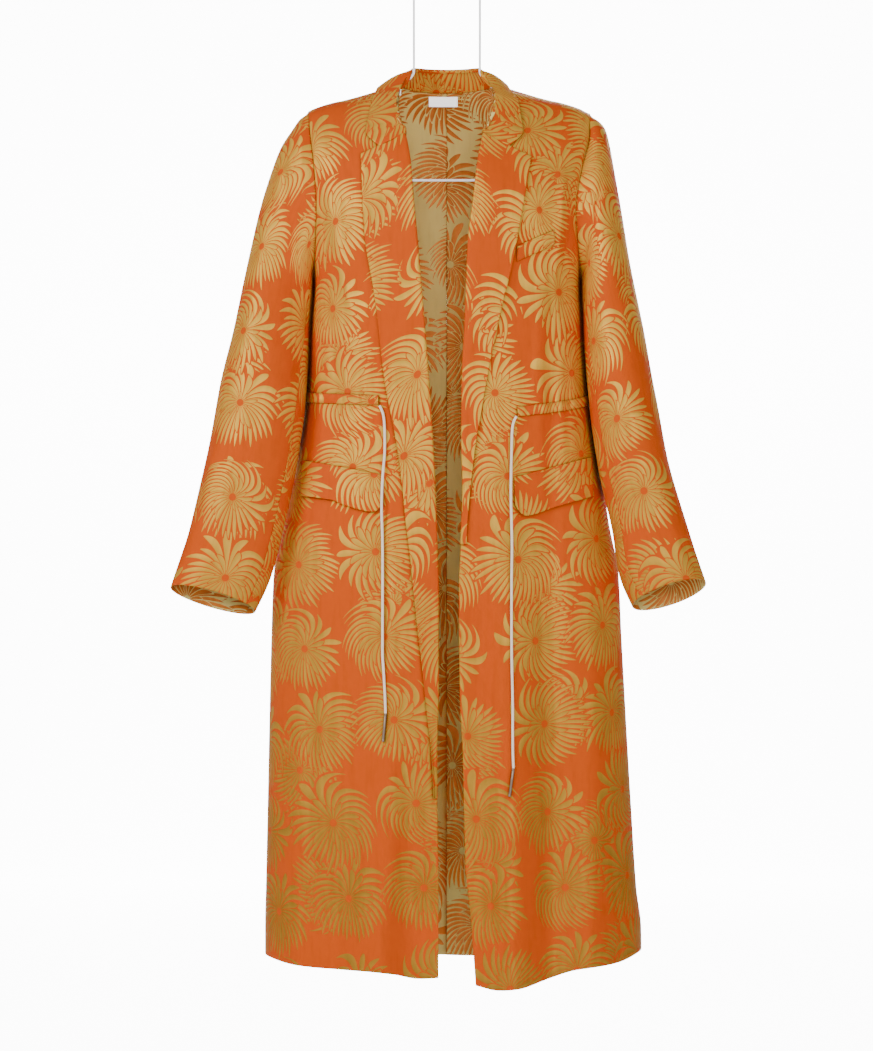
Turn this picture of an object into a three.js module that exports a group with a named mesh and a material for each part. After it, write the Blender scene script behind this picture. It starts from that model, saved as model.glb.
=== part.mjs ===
// A long open duster coat with notched lapels, drawstring waist casing and pocket flaps,
// hanging filled out on a slim white rod frame. Millimetres, +Z up, the front faces -Y.
// The origin is at the top of the frame's top bar. "right" and "left" are the wearer's.
import * as THREE from 'three';

const WALL = 1.5;
const SEAM_GAP = 0.3;
const LIE_GAP = 0.6;
const HANG_DROP = 95;
const UNDERARM_DROP = 281;
const HEM_ROUNDNESS = 2.4;
const SHOULDER_HEIGHT = 150;
const NECK_HALF_WIDTH = 62;
const NECK_BACK_DEPTH = 60;
const NECK_SIDE_DROP = 20;
const NECK_BACK_FALL = 7;
const NECK_TOP_FALL = 12.5;
const RIDGE_BACK = 5;
const SEAM_FORWARD = 12;
const SIDES = { right: -1, left: 1 };

// Reads a short table by its first column, with a smooth curve through the rows that never overshoots.
class Table {
  constructor(columns, rows) {
    this.columns = columns;
    this.rows = rows;
  }

  slope(column, i) {
    const { rows } = this;
    const step = (k) => (rows[k + 1][column] - rows[k][column]) / (rows[k + 1][0] - rows[k][0]);
    if (i === 0) return step(0);
    if (i === rows.length - 1) return step(i - 1);
    const before = step(i - 1);
    const after = step(i);
    return before * after > 0 ? (2 * before * after) / (before + after) : 0;
  }

  at(name, place) {
    const { rows } = this;
    const column = this.columns.indexOf(name);
    const last = rows.length - 1;
    if (place <= rows[0][0]) return rows[0][column];
    if (place >= rows[last][0]) return rows[last][column];
    let i = 0;
    while (rows[i + 1][0] < place) i += 1;
    const span = rows[i + 1][0] - rows[i][0];
    const t = (place - rows[i][0]) / span;
    const low = rows[i][column];
    const high = rows[i + 1][column];
    const rise = this.slope(column, i) * span;
    const fall = this.slope(column, i + 1) * span;
    const eased = t * t * (3 - 2 * t);
    return low + (high - low) * eased + rise * t * (1 - t) * (1 - t) - fall * t * t * (1 - t);
  }
}

// Half-widths of the body to each side seam and its half-depth, by drop below the collar's top.
const BODY = new Table(['drop', 'right', 'left', 'depth'], [
  [0, 212, 212, 105],
  [120, 197, 197, 105],
  [185, 186, 186, 105],
  [240, 177.5, 177.5, 105],
  [281, 171.5, 172, 105],
  [350, 170, 170, 104],
  [427, 174, 174, 99],
  [503, 191, 191, 103],
  [579, 208, 207, 108],
  [650, 222, 220, 111],
  [731, 225, 224, 114],
  [960, 230, 237, 120],
  [1051, 232, 243, 122],
  [1100, 233, 249, 124],
  [1180, 233, 250, 126],
]);

// The top of the shoulder, by distance from the centre.
const RIDGE = new Table(['x', 'drop'], [
  [40, 12.5],
  [62, 18.5],
  [91, 27.5],
  [131, 39],
  [147, 42.5],
  [172, 51],
  [177, 54],
  [185, 58],
]);

// The inner edge of each front: the neck seam down to the gorge at 89, then the roll line and the front edge.
const FRONT_EDGE = new Table(['drop', 'right', 'left'], [
  [20, 62, 62],
  [32, 65, 63.5],
  [45, 66, 63],
  [58, 64.5, 60],
  [73, 60, 54],
  [89, 53, 46],
  [127, 46, 38.5],
  [169, 42.5, 33.5],
  [229, 37, 26.5],
  [330, 28.5, 22.5],
  [401, 23, 19],
  [479, 18, 18.5],
  [537, 15, 20],
  [596, 13, 18],
  [673, 11, 15],
  [791, 11, 16],
  [882, 13, 20],
  [1011, 11, 23],
  [1082, 11, 30],
  [1165, 11, 36],
]);

// Where the armhole's edge stands out from the centre, by drop.
const ARMHOLE = new Table(['drop', 'right', 'left'], [
  [62, 177, 183],
  [90, 174, 182],
  [130, 169, 172],
  [185, 166, 163.5],
  [240, 168, 167.5],
  [281, 171.5, 172],
]);

// The hem's drop along each front and each back, by the share of the way from the front edge or centre back.
const FRONT_HEM = new Table(['share', 'right', 'left'], [
  [0, 1155, 1165],
  [0.12, 1157, 1171],
  [0.25, 1151, 1169],
  [0.4, 1147, 1160],
  [0.6, 1146, 1147],
  [0.85, 1141, 1140],
  [1, 1134, 1128],
]);
const BACK_HEM = new Table(['share', 'right', 'left'], [
  [0, 1147, 1147],
  [0.5, 1145, 1148],
  [0.8, 1141, 1141],
  [1, 1134, 1128],
]);

// Long soft folds. Each leans from x at its top to x at its foot, stands proud or sinks by its height.
const FRONT_FOLDS = {
  right: [
    { top: 300, foot: 1180, xTop: 128, xFoot: 150, halfWidth: 20, height: -4 },
    { top: 640, foot: 1250, xTop: 92, xFoot: 96, halfWidth: 26, height: 7 },
    { top: 560, foot: 1250, xTop: 50, xFoot: 44, halfWidth: 15, height: -5 },
    { top: 700, foot: 1260, xTop: 190, xFoot: 196, halfWidth: 18, height: 5 },
  ],
  left: [
    { top: 210, foot: 420, xTop: 138, xFoot: 132, halfWidth: 10, height: -3 },
    { top: 470, foot: 1250, xTop: 72, xFoot: 92, halfWidth: 20, height: 8 },
    { top: 560, foot: 1230, xTop: 46, xFoot: 50, halfWidth: 12, height: -5 },
    { top: 640, foot: 1260, xTop: 140, xFoot: 150, halfWidth: 22, height: -6 },
    { top: 700, foot: 1260, xTop: 192, xFoot: 200, halfWidth: 22, height: 6 },
  ],
};
const BACK_FOLDS = {
  right: [
    { top: 430, foot: 1250, xTop: 60, xFoot: 84, halfWidth: 26, height: 6 },
    { top: 430, foot: 1250, xTop: 118, xFoot: 150, halfWidth: 24, height: -6 },
  ],
  left: [
    { top: 430, foot: 1250, xTop: 66, xFoot: 78, halfWidth: 24, height: 5 },
    { top: 450, foot: 1250, xTop: 122, xFoot: 146, halfWidth: 26, height: -7 },
  ],
};

// The lapel's free edge, by drop from its tip to where it runs out at the front edge.
const LAPEL_EDGE = {
  right: new Table(['drop', 'x'], [
    [116, 108.5], [182, 106], [222, 103], [300, 90], [401, 79], [474, 65], [526, 57.5],
    [584, 52], [630, 46], [706, 38], [780, 30], [819, 26], [882, 19], [930, 17],
  ]),
  left: new Table(['drop', 'x'], [
    [119, 106], [157, 100], [208, 91], [268, 79], [300, 71], [370, 56], [430, 45],
    [498, 34], [577, 26], [610, 24],
  ]),
};
const GORGE_DROP = 89;
const LAPEL_COLUMNS = 4;
const LAPEL_FIRST_ROW = 6;
const LAPEL_ROLL = 1.6;

// The collar: its fold, and its free edge from the notch and tip round to the centre back.
// The fold's y is its own; the free edge lies on the front, the ridge or the back.
const COLLAR = ['foldDrop', 'foldY', 'foldRight', 'foldLeft', 'edgeDrop', 'edgeRight', 'edgeLeft', 'lies'];
const COLLAR_CLEAR = 4;
const COLLAR_REACH = 7;
const COLLAR_AIM_BELOW = 60;
const STAND_GAP = 0.8;
const COLLAR_ROWS = [
  [89, -78.5, 53, 46, 105.2, 86, 79, 'front'],
  [80, -72, 53.6, 47, 86, 103.5, 97, 'front'],
  [64, -61, 54, 49.5, 69, 101, 95, 'front'],
  [48, -47, 54, 50, 54, 98, 93, 'front'],
  [34, -34, 53.5, 48, 42, 95, 90.5, 'front'],
  [18, -18, 51.5, 47, 33.5, 92.5, 84, 'front'],
  [3, -2, 48, 46, 0, 89, 77, 'ridge'],
  [1, 8, 46.5, 45, 32, 86, 75, 'back'],
  [-1, 17, 44, 43, 34, 78, 70, 'back'],
  [-2, 36, 34, 33.5, 41.5, 58, 54, 'back'],
  [-2, 49, 18.5, 18.5, 46.5, 32, 31, 'back'],
  [-2, 54, 0, 0, 48, 0, 0, 'back'],
];

// The rings of each sleeve below the armhole: outer and inner silhouette, half-depth and how far forward it swings.
const SLEEVE_COLUMNS = ['outerX', 'outerDrop', 'innerX', 'innerDrop', 'halfDepth', 'forward'];
const SLEEVES = {
  right: [
    [188, 64, 171.9, 284.5, 57, 1],
    [198, 79, 172.3, 290, 56, 1],
    [212, 100, 173, 300, 54, 2],
    [226, 137, 174.6, 314, 52, 3],
    [239, 179, 176, 330, 50, 5],
    [250, 227, 177.5, 348, 52, 10],
    [262, 284, 179, 371, 55, 19],
    [273, 340, 181, 401, 56, 31],
    [288, 401, 184, 443, 53, 43],
    [301, 477, 189, 493, 47, 53],
    [314, 536, 197.5, 544, 42, 58],
    [329, 599, 210, 602, 36, 63],
    [340, 632, 223.5, 653, 33, 66],
    [351, 665, 243, 695, 30, 68],
  ],
  left: [
    [193, 66, 172.4, 284.5, 58, 1],
    [203, 77.5, 172.8, 289.5, 58, 1],
    [209, 100, 173.4, 298, 59, 2],
    [215.5, 137, 174.4, 308, 60, 3],
    [223.5, 182, 175.6, 319, 62, 5],
    [234, 249, 178, 333, 65, 11],
    [244, 300, 182, 357, 67, 20],
    [251.5, 338, 185, 382, 67, 29],
    [262, 401, 189, 420, 65, 42],
    [270, 443, 193, 455, 62, 48],
    [279, 495, 198, 503, 58, 54],
    [287, 528, 202, 538, 54, 58],
    [303.5, 582, 210, 592, 47, 62],
    [316, 622, 217, 645, 42, 65],
    [329, 660, 235, 688, 38, 68],
  ],
};
const CUFF_TILT = THREE.MathUtils.degToRad(11);
const FRONT_SEAM_STEP = 8;
const BACK_SEAM_STEP = 7;

// The waist casing's centre line, and the flaps and welt, placed on their panels.
const CASING_HEIGHT = 13;
const CASING_PUFF = 2.2;
const CASING_BANDS = 4;
const CASING = {
  right: { innerX: 86, innerDrop: 427.5, sideDrop: 421.5 },
  left: { innerX: 88.5, innerDrop: 442, sideDrop: 422.5 },
};
const CASING_BACK_DROP = 420;
const CASING_END = 0.995;
const FLAP = {
  right: new Table(['x', 'top', 'bottom'], [
    [81, 522, 560], [87, 520.8, 567], [92, 519.8, 569], [125, 513.5, 562], [146, 509.5, 554], [184, 503, 549],
  ]),
  left: new Table(['x', 'top', 'bottom'], [
    [84.5, 525, 560], [91, 523.4, 570], [98, 521.6, 574], [130, 513, 565], [160, 505, 556], [184, 499, 549],
  ]),
};
const FLAP_LIFT = 2.1;
const WELT_SPAN = [88, 136];
const WELT_LIFT = 0.3;
const WELT = new Table(['x', 'top', 'bottom'], [[88, 233, 252.5], [112, 222, 241.5], [136, 211.5, 231]]);
const LABEL = { left: -23, right: 14, top: 31.5, bottom: 44.5, thickness: 0.6 };
const LABEL_CLEAR = 2.6;

// The drawstring's free ends, hand placed from the casing's end down over the flap to the aglet.
const CORD_DIAMETER = 3.2;
const CORD_SIDES = 8;
const CORD_STEPS = 44;
const CORD = {
  right: {
    route: [
      [-85.3, -94.7, 434.7], [-82.3, -95.5, 438.5], [-80, -96.1, 448], [-78.9, -97.3, 463], [-78.7, -98.6, 479],
      [-78.7, -99.8, 494], [-80, -101.5, 509], [-81.3, -104, 524.5], [-82.5, -107.4, 555], [-82.5, -107.4, 575],
      [-81.8, -106.4, 592], [-81.3, -107.7, 620], [-81.3, -109, 646], [-81.3, -110.4, 677], [-81.3, -112.6, 722.6],
      [-81.3, -113.9, 753], [-80, -114.6, 768], [-79.2, -115.2, 783.6], [-78.3, -115.7, 799], [-77.5, -116.4, 822.5],
    ],
    aglet: [[-77.5, -116.4, 822.9], [-80.7, -117.7, 858]],
  },
  left: {
    route: [
      [87.8, -96.3, 448], [84.6, -96.2, 452], [82.4, -96.9, 461], [81.8, -98.2, 475], [81.3, -99.9, 495],
      [80.6, -102.3, 522], [80.4, -104.8, 552], [81.2, -106.9, 583], [81.8, -108.6, 613], [81.3, -110.2, 644],
      [81.1, -112.3, 690], [81.3, -114.7, 750], [82.5, -116.6, 811], [82.5, -117.8, 850], [82.7, -118.5, 872],
      [83.4, -119, 891.3],
    ],
    aglet: [[83.3, -119, 891.7], [78.4, -120.8, 927]],
  },
};
const AGLET_DIAMETER = 3.4;
const AGLET_SIDES = 10;
const AGLET_STEPS = 2;

// The rod frame that the coat hangs on.
const ROD_RADIUS = 1.5;
const ROD_SIDES = 12;
const UPRIGHT_STEPS = 40;
const ARM_STEPS = 16;
const TOP_BAR_HALF = 46;
const ARM_START_DROP = 31.5;
const ARM_STOPS = [0.2, 0.4, 0.6, 0.8];
const ARM_RADIUS = 3;
const CROSSBAR_DROP = 143.5;
const ARM_Y = 4;
const ARM_BELOW = 6.3;
const UPPER_X = 42.3;
const LOWER_X = 58;
const UPRIGHT_BEND = [[42.3, -30], [42.3, 0], [42.6, 6], [46, 11.5], [54, 19.5], [57.5, 25], [58, 34], [58, 70]];

const MATERIALS = {
  cloth: new THREE.MeshStandardMaterial({ color: 0xc9783a, roughness: 0.45, metalness: 0 }),
  cord: new THREE.MeshStandardMaterial({ color: 0xefe2d6, roughness: 0.8, metalness: 0 }),
  aglet: new THREE.MeshStandardMaterial({ color: 0x94806a, roughness: 0.4, metalness: 0.9 }),
  label: new THREE.MeshStandardMaterial({ color: 0xf3f1ec, roughness: 0.7, metalness: 0 }),
  rod: new THREE.MeshStandardMaterial({ color: 0xf4f2ee, roughness: 0.35, metalness: 0 }),
};

const clamp01 = (value) => Math.min(1, Math.max(0, value));
const smooth = (value) => clamp01(value) ** 2 * (3 - 2 * clamp01(value));
const mix = (a, b, share) => a + (b - a) * share;
const point = (x, y, drop) => new THREE.Vector3(x, y, -HANG_DROP - drop);
const spaced = (count) => Array.from({ length: count + 1 }, (_, i) => i / count);

// How far the shoulder has rounded out to its full depth at a share of its height.
const rounding = (share) => (1 - (1 - clamp01(share)) ** 1.6) ** 0.7;

function fullDepth(side, x, drop) {
  const across = clamp01(Math.abs(x) / BODY.at(side, drop));
  return BODY.at('depth', drop) * (1 - across ** HEM_ROUNDNESS) ** (1 / HEM_ROUNDNESS);
}

function foldHeight(folds, side, x, drop) {
  let height = 0;
  for (const fold of folds) {
    const along = clamp01((drop - fold.top) / (fold.foot - fold.top));
    const centre = mix(fold.xTop, fold.xFoot, along);
    const grown = Math.sin(Math.PI * Math.min(along, 0.9) / 1.8);
    height += fold.height * grown * Math.exp(-(((Math.abs(x) - centre) / fold.halfWidth) ** 2));
  }
  const across = clamp01(Math.abs(x) / BODY.at(side, drop));
  return height * (1 - across ** 6);
}

// The shoulder seam, a little in front of the shoulder's top.
function shoulderSeam(x) {
  const forward = smooth((Math.abs(x) - NECK_HALF_WIDTH) / 25);
  return { y: -SEAM_FORWARD * forward, drop: RIDGE.at('drop', Math.abs(x)) + 1.5 + 4 * forward };
}

// The line that the back hangs from: just behind the neck seam, then the shoulder's top.
function backTop(x) {
  const inNeck = Math.sqrt(1 - clamp01(Math.abs(x) / NECK_HALF_WIDTH) ** 2);
  const ridge = RIDGE.at('drop', Math.max(NECK_HALF_WIDTH, Math.abs(x)));
  return { y: RIDGE_BACK + NECK_BACK_DEPTH * inNeck, drop: ridge + NECK_TOP_FALL * inNeck };
}

function frontY(side, x, drop) {
  const top = shoulderSeam(x);
  const round = rounding((drop - top.drop) / SHOULDER_HEIGHT);
  return mix(top.y, -fullDepth(side, x, drop), round) - foldHeight(FRONT_FOLDS[side], side, x, drop);
}

function backY(side, x, drop) {
  const top = backTop(x);
  const round = rounding((drop - top.drop) / SHOULDER_HEIGHT);
  return mix(top.y, fullDepth(side, x, drop), round) + foldHeight(BACK_FOLDS[side], side, x, drop);
}

// Shares across a panel that step evenly round its curve.
const roundShare = (share) => Math.sin((share * Math.PI) / 2) ** (2 / HEM_ROUNDNESS);

const FRONT_YOKE_DROPS = [20, 32, 45, 58, 73, 89, 120, 165, 210, 250, 285];
const BACK_YOKE_DROPS = [27, 31, 45, 70, 100, 135, 170, 205, 245, 285];
const YOKE_END = 285;
const SKIRT_ROWS = 15;
const FRONT_COLUMNS = 10;
const NECK_COLUMNS = 4;
const SEAM_COLUMNS = 5;
const BACK_COLUMNS = NECK_COLUMNS + SEAM_COLUMNS;

const armholeDrop = (top, share) => mix(top, UNDERARM_DROP, (1 - Math.cos(share * Math.PI)) / 2);

// A point of the shoulder seam's straight stretches, counted from the neck.
function seamPoint(side, place) {
  const tip = ARMHOLE.at(side, 0);
  const from = Math.min(SEAM_COLUMNS - 1, Math.floor(place));
  const [a, b] = [from, from + 1].map((m) => {
    const x = mix(NECK_HALF_WIDTH, tip, m / SEAM_COLUMNS);
    const seam = shoulderSeam(x);
    return point(SIDES[side] * x, seam.y, seam.drop);
  });
  return a.lerp(b, place - from);
}

// One front panel as rows of points on its outer face, from the shoulder seam to the hem.
function frontGrid(side) {
  const sign = SIDES[side];
  const tip = ARMHOLE.at(side, 0);
  const yokeRows = FRONT_YOKE_DROPS.length - 1;
  const rows = FRONT_YOKE_DROPS.map((innerDrop, k) => {
    const outerDrop = armholeDrop(shoulderSeam(tip).drop, k / yokeRows);
    const inner = FRONT_EDGE.at(side, innerDrop);
    const outer = ARMHOLE.at(side, outerDrop);
    return spaced(FRONT_COLUMNS).map((share) => {
      const across = mix(share, roundShare(share), smooth(k / 4));
      const x = mix(inner, outer, across);
      if (k === 0) return seamPoint(side, share * SEAM_COLUMNS);
      const drop = mix(innerDrop, outerDrop, across);
      const y = k === yokeRows && share === 1 ? 0 : frontY(side, x, drop);
      return point(sign * x, y, drop);
    });
  });
  for (const down of spaced(SKIRT_ROWS).slice(1)) {
    rows.push(spaced(FRONT_COLUMNS).map((share) => frontPoint(side, share, down)));
  }
  return rows;
}

// A point of a front below the underarm: share across from the front edge, and share down to the hem.
function frontPoint(side, share, down) {
  const across = roundShare(share);
  const start = mix(YOKE_END, UNDERARM_DROP, across);
  const drop = mix(start, FRONT_HEM.at(side, across), down);
  const x = mix(FRONT_EDGE.at(side, drop), BODY.at(side, drop), across);
  return point(SIDES[side] * x, share === 1 ? 0 : frontY(side, x, drop), drop);
}

function backPoint(side, share, down) {
  const across = roundShare(share);
  const start = mix(YOKE_END, UNDERARM_DROP, across);
  const drop = mix(start, BACK_HEM.at(side, across), down);
  const x = BODY.at(side, drop) * across;
  return point(SIDES[side] * x, share === 1 ? 0 : backY(side, x, drop), drop);
}

// One back panel, from the neck and shoulder seam to the hem, and from the centre back out.
function backGrid(side) {
  const sign = SIDES[side];
  const tip = ARMHOLE.at(side, 0);
  const yokeRows = BACK_YOKE_DROPS.length - 1;
  const topX = spaced(BACK_COLUMNS).map((_, j) => {
    const turn = Math.min(1, j / NECK_COLUMNS) * (Math.PI / 2);
    const outward = Math.max(0, (j - NECK_COLUMNS) / (BACK_COLUMNS - NECK_COLUMNS));
    return NECK_HALF_WIDTH * Math.sin(turn) + (tip - NECK_HALF_WIDTH) * outward;
  });
  const rows = BACK_YOKE_DROPS.map((innerDrop, k) => topX.map((seamX, j) => {
    const across = roundShare(j / BACK_COLUMNS);
    const inNeck = Math.sqrt(1 - clamp01(seamX / NECK_HALF_WIDTH) ** 2);
    if (k === 0 && j < NECK_COLUMNS) {
      return point(sign * seamX, NECK_BACK_DEPTH * inNeck, NECK_SIDE_DROP + NECK_BACK_FALL * inNeck);
    }
    if (k === 0) {
      const seam = shoulderSeam(seamX);
      return point(sign * seamX, seam.y, seam.drop);
    }
    const top = backTop(seamX);
    if (k === 1) return point(sign * seamX, top.y, top.drop);
    const outerDrop = armholeDrop(RIDGE.at('drop', tip), (k - 1) / (yokeRows - 1));
    const eased = smooth(k / yokeRows);
    const x = mix(seamX, ARMHOLE.at(side, outerDrop) * across, eased);
    const edgeX = j === BACK_COLUMNS ? ARMHOLE.at(side, outerDrop) : x;
    const lineDrop = mix(innerDrop, outerDrop, mix(seamX / tip, across, eased));
    const drop = Math.max(lineDrop, top.drop + (k - 1) * 4);
    const y = k === yokeRows && j === BACK_COLUMNS ? 0 : backY(side, edgeX, drop);
    return point(sign * edgeX, y, drop);
  }));
  for (const down of spaced(SKIRT_ROWS).slice(1)) {
    rows.push(spaced(BACK_COLUMNS).map((share) => backPoint(side, share, down)));
  }
  return rows;
}

// Unit normals of a grid of points, turned towards a place inside the garment.
function inwardNormals(grid, inside) {
  const rows = grid.length - 1;
  const columns = grid[0].length - 1;
  return grid.map((row, i) => row.map((here, j) => {
    const down = grid[Math.min(i + 1, rows)][j].clone().sub(grid[Math.max(i - 1, 0)][j]);
    const across = row[Math.min(j + 1, columns)].clone().sub(row[Math.max(j - 1, 0)]);
    const normal = down.cross(across).normalize();
    const towards = inside(here).sub(here);
    return normal.dot(towards) < 0 ? normal.negate() : normal;
  }));
}

// A closed wall: the outer face, the same face moved inwards, and a rim round the edge.
function wallGeometry(outer, inner) {
  const rows = outer.length;
  const columns = outer[0].length;
  const positions = [...outer.flat(), ...inner.flat()].flatMap((p) => [p.x, p.y, p.z]);
  const id = (layer, i, j) => layer * rows * columns + i * columns + j;
  const faces = [];
  const quad = (a, b, c, d) => faces.push([a, b, c], [a, c, d]);
  for (let i = 0; i < rows - 1; i += 1) {
    for (let j = 0; j < columns - 1; j += 1) {
      quad(id(0, i, j), id(0, i + 1, j), id(0, i + 1, j + 1), id(0, i, j + 1));
      quad(id(1, i, j), id(1, i, j + 1), id(1, i + 1, j + 1), id(1, i + 1, j));
    }
    quad(id(0, i, 0), id(1, i, 0), id(1, i + 1, 0), id(0, i + 1, 0));
    quad(id(0, i, columns - 1), id(0, i + 1, columns - 1), id(1, i + 1, columns - 1), id(1, i, columns - 1));
  }
  for (let j = 0; j < columns - 1; j += 1) {
    quad(id(0, 0, j), id(0, 0, j + 1), id(1, 0, j + 1), id(1, 0, j));
    quad(id(0, rows - 1, j), id(1, rows - 1, j), id(1, rows - 1, j + 1), id(0, rows - 1, j + 1));
  }
  return closedGeometry(positions, faces);
}

// An indexed geometry whose faces point out, whichever way its grid ran.
function closedGeometry(positions, faces) {
  const corner = (k) => new THREE.Vector3().fromArray(positions, 3 * k);
  let volume = 0;
  for (const [a, b, c] of faces) volume += corner(a).dot(corner(b).cross(corner(c)));
  const index = volume < 0 ? faces.flatMap(([a, b, c]) => [a, c, b]) : faces.flat();
  const geometry = new THREE.BufferGeometry();
  geometry.setAttribute('position', new THREE.Float32BufferAttribute(positions, 3));
  geometry.setIndex(index);
  geometry.computeVertexNormals();
  return geometry;
}

const moved = (grid, directions, distance) =>
  grid.map((row, i) => row.map((p, j) => p.clone().addScaledVector(directions[i][j], distance)));

const coat = new THREE.Group();

function addPiece(name, geometry, material) {
  const mesh = new THREE.Mesh(geometry, material);
  mesh.name = name;
  coat.add(mesh);
  return mesh;
}

const addWall = (name, grid, normals, material = MATERIALS.cloth, thickness = WALL) =>
  addPiece(name, wallGeometry(grid, moved(grid, normals, thickness)), material);

const CHEST_DROP = 120;

// The place inside the body that its walls face: the middle, level with each point.
const bodyMiddle = (p) => new THREE.Vector3(0, 0, Math.min(p.z, -HANG_DROP - CHEST_DROP));
const NECK_AIM = point(0, -5, 85);

// The seams' own directions, shared by the pieces on both sides so that the gap between them stays even.
const shoulderInward = (sign) => new THREE.Vector3(-0.28 * sign, 0.45, -0.85).normalize();
const neckInward = (p) => NECK_AIM.clone().sub(p).normalize();

function armholeInward(side, p) {
  const centre = point(p.x, 0, mix(RIDGE.at('drop', ARMHOLE.at(side, 0)), UNDERARM_DROP, 0.5));
  return centre.sub(p).normalize();
}

function flatten(normal, axis) {
  normal[axis] = 0;
  return normal.normalize();
}

// Moves an edge back from a seam by half the seam gap.
const halfGap = (grid, i, j, x, y, z) => grid[i][j].add(new THREE.Vector3(x, y, z).multiplyScalar(SEAM_GAP / 2));

// The seam directions and gaps that fronts and backs share, for the shoulder, neck, armhole and side.
function finishPanel(grid, side, armholeRows, ridgeRow) {
  const sign = SIDES[side];
  const last = grid[0].length - 1;
  const normals = inwardNormals(grid, bodyMiddle);
  grid.forEach((row, i) => {
    if (i <= armholeRows) {
      normals[i][last] = armholeInward(side, row[last]);
      halfGap(grid, i, last, -sign, 0, 0);
    } else {
      flatten(normals[i][last], 'y');
    }
  });
  grid[0].forEach((p, j) => {
    if (Math.abs(p.x) > NECK_HALF_WIDTH + 1 && j < last) normals[0][j] = shoulderInward(sign);
  });
  if (ridgeRow) normals[ridgeRow].forEach((n, j) => (j > NECK_COLUMNS && j < last ? flatten(n, 'y') : n));
  return normals;
}

function buildFront(side) {
  const grid = frontGrid(side);
  const plain = grid.map((row) => row.map((p) => p.clone()));
  const armholeRows = FRONT_YOKE_DROPS.length - 1;
  const normals = finishPanel(grid, side, armholeRows, 0);
  const last = grid[0].length - 1;
  grid[0].forEach((p, j) => halfGap(grid, 0, j, 0, -1, -0.5));
  for (let i = 0; i <= 5; i += 1) {
    normals[i][0] = neckInward(grid[i][0]);
    halfGap(grid, i, 0, SIDES[side], 0, -0.6);
  }
  for (let j = 1; j < last; j += 2) {
    normals[0][j] = normals[0][j - 1].clone().add(normals[0][j + 1]).multiplyScalar(0.5);
  }
  for (let i = armholeRows; i < grid.length; i += 1) halfGap(grid, i, last, 0, -1, 0);
  addWall(`front_${side}`, grid, normals);
  return plain;
}

function buildBack(side) {
  const grid = backGrid(side);
  const plain = grid.map((row) => row.map((p) => p.clone()));
  const armholeRows = BACK_YOKE_DROPS.length - 1;
  const normals = finishPanel(grid, side, armholeRows, 1);
  const last = grid[0].length - 1;
  grid[0].forEach((p, j) => {
    if (j <= NECK_COLUMNS) normals[0][j] = neckInward(p);
    halfGap(grid, 0, j, 0, j < NECK_COLUMNS ? 0 : 1, j <= NECK_COLUMNS ? -1 : 0.5);
  });
  grid.forEach((row, i) => {
    flatten(normals[i][0], 'x');
    halfGap(grid, i, 0, SIDES[side], 0, 0);
    if (i >= armholeRows) halfGap(grid, i, last, 0, 1, 0);
  });
  addWall(`back_${side}`, grid, normals);
  return plain;
}

// Both halves of a sleeve, from the armhole's own points to the cuff.
function buildSleeve(side, front, back) {
  const sign = SIDES[side];
  const frontRows = FRONT_YOKE_DROPS.length - 1;
  const backRows = BACK_YOKE_DROPS.length - 1;
  const outer = front[0].length - 1;
  const backOuter = back[0].length - 1;
  const loop = [];
  for (let k = 0; k <= frontRows; k += 1) loop.push(front[k][outer].clone());
  for (let k = backRows - 1; k >= 0; k -= 1) loop.push(back[k][backOuter].clone());
  const turns = loop.map((_, k) => (k <= frontRows ? (k / frontRows) * Math.PI
    : Math.PI + ((k - frontRows) / backRows) * Math.PI));
  const inwardLoop = loop.map((p) => armholeInward(side, p));
  loop.forEach((p) => p.add(new THREE.Vector3((sign * SEAM_GAP) / 2, 0, 0)));
  const rings = SLEEVES[side].map((row, i) => {
    const ring = Object.fromEntries(SLEEVE_COLUMNS.map((name, c) => [name, row[c]]));
    const tilt = CUFF_TILT * smooth((i - 5) / (SLEEVES[side].length - 6));
    const top = point(sign * ring.outerX, -ring.forward, ring.outerDrop);
    const under = point(sign * ring.innerX, -ring.forward, ring.innerDrop);
    const middle = top.clone().add(under).multiplyScalar(0.5);
    const half = top.clone().sub(middle);
    const deep = new THREE.Vector3(0, -Math.cos(tilt), Math.sin(tilt)).multiplyScalar(ring.halfDepth);
    return turns.map((turn) => middle.clone().addScaledVector(half, Math.cos(turn)).addScaledVector(deep, Math.sin(turn)));
  });
  const all = [loop, ...rings];
  const centres = all.map((ring) => {
    const sum = new THREE.Vector3();
    ring.slice(0, -1).forEach((p) => sum.add(p));
    return sum.divideScalar(ring.length - 1);
  });
  const normals = all.map((ring, i) => ring.map((here, j) => {
    if (i === 0) return inwardLoop[j];
    const count = ring.length - 1;
    const down = all[Math.min(i + 1, all.length - 1)][j].clone().sub(all[i - 1][j]);
    const around = ring[(j + 1) % count].clone().sub(ring[(j - 1 + count) % count]);
    const normal = down.cross(around).normalize();
    return normal.dot(centres[i].clone().sub(here)) < 0 ? normal.negate() : normal;
  }));
  const steps = turns.length - 1;
  const startTop = steps - BACK_SEAM_STEP;
  const pick = (from, to) => {
    const places = [];
    for (let k = from; k <= to; k += 1) places.push(k % steps);
    const grid = all.map((ring) => places.map((k) => ring[k].clone()));
    const inward = normals.map((ring) => places.map((k) => ring[k].clone()));
    grid.forEach((row) => {
      const inFrom = row[1].clone().sub(row[0]).normalize();
      const inTo = row[row.length - 2].clone().sub(row[row.length - 1]).normalize();
      row[0].addScaledVector(inFrom, SEAM_GAP / 2);
      row[row.length - 1].addScaledVector(inTo, SEAM_GAP / 2);
    });
    return [grid, inward];
  };
  addWall(`top_sleeve_${side}`, ...pick(startTop, steps + FRONT_SEAM_STEP));
  addWall(`under_sleeve_${side}`, ...pick(FRONT_SEAM_STEP, startTop));
}

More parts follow.
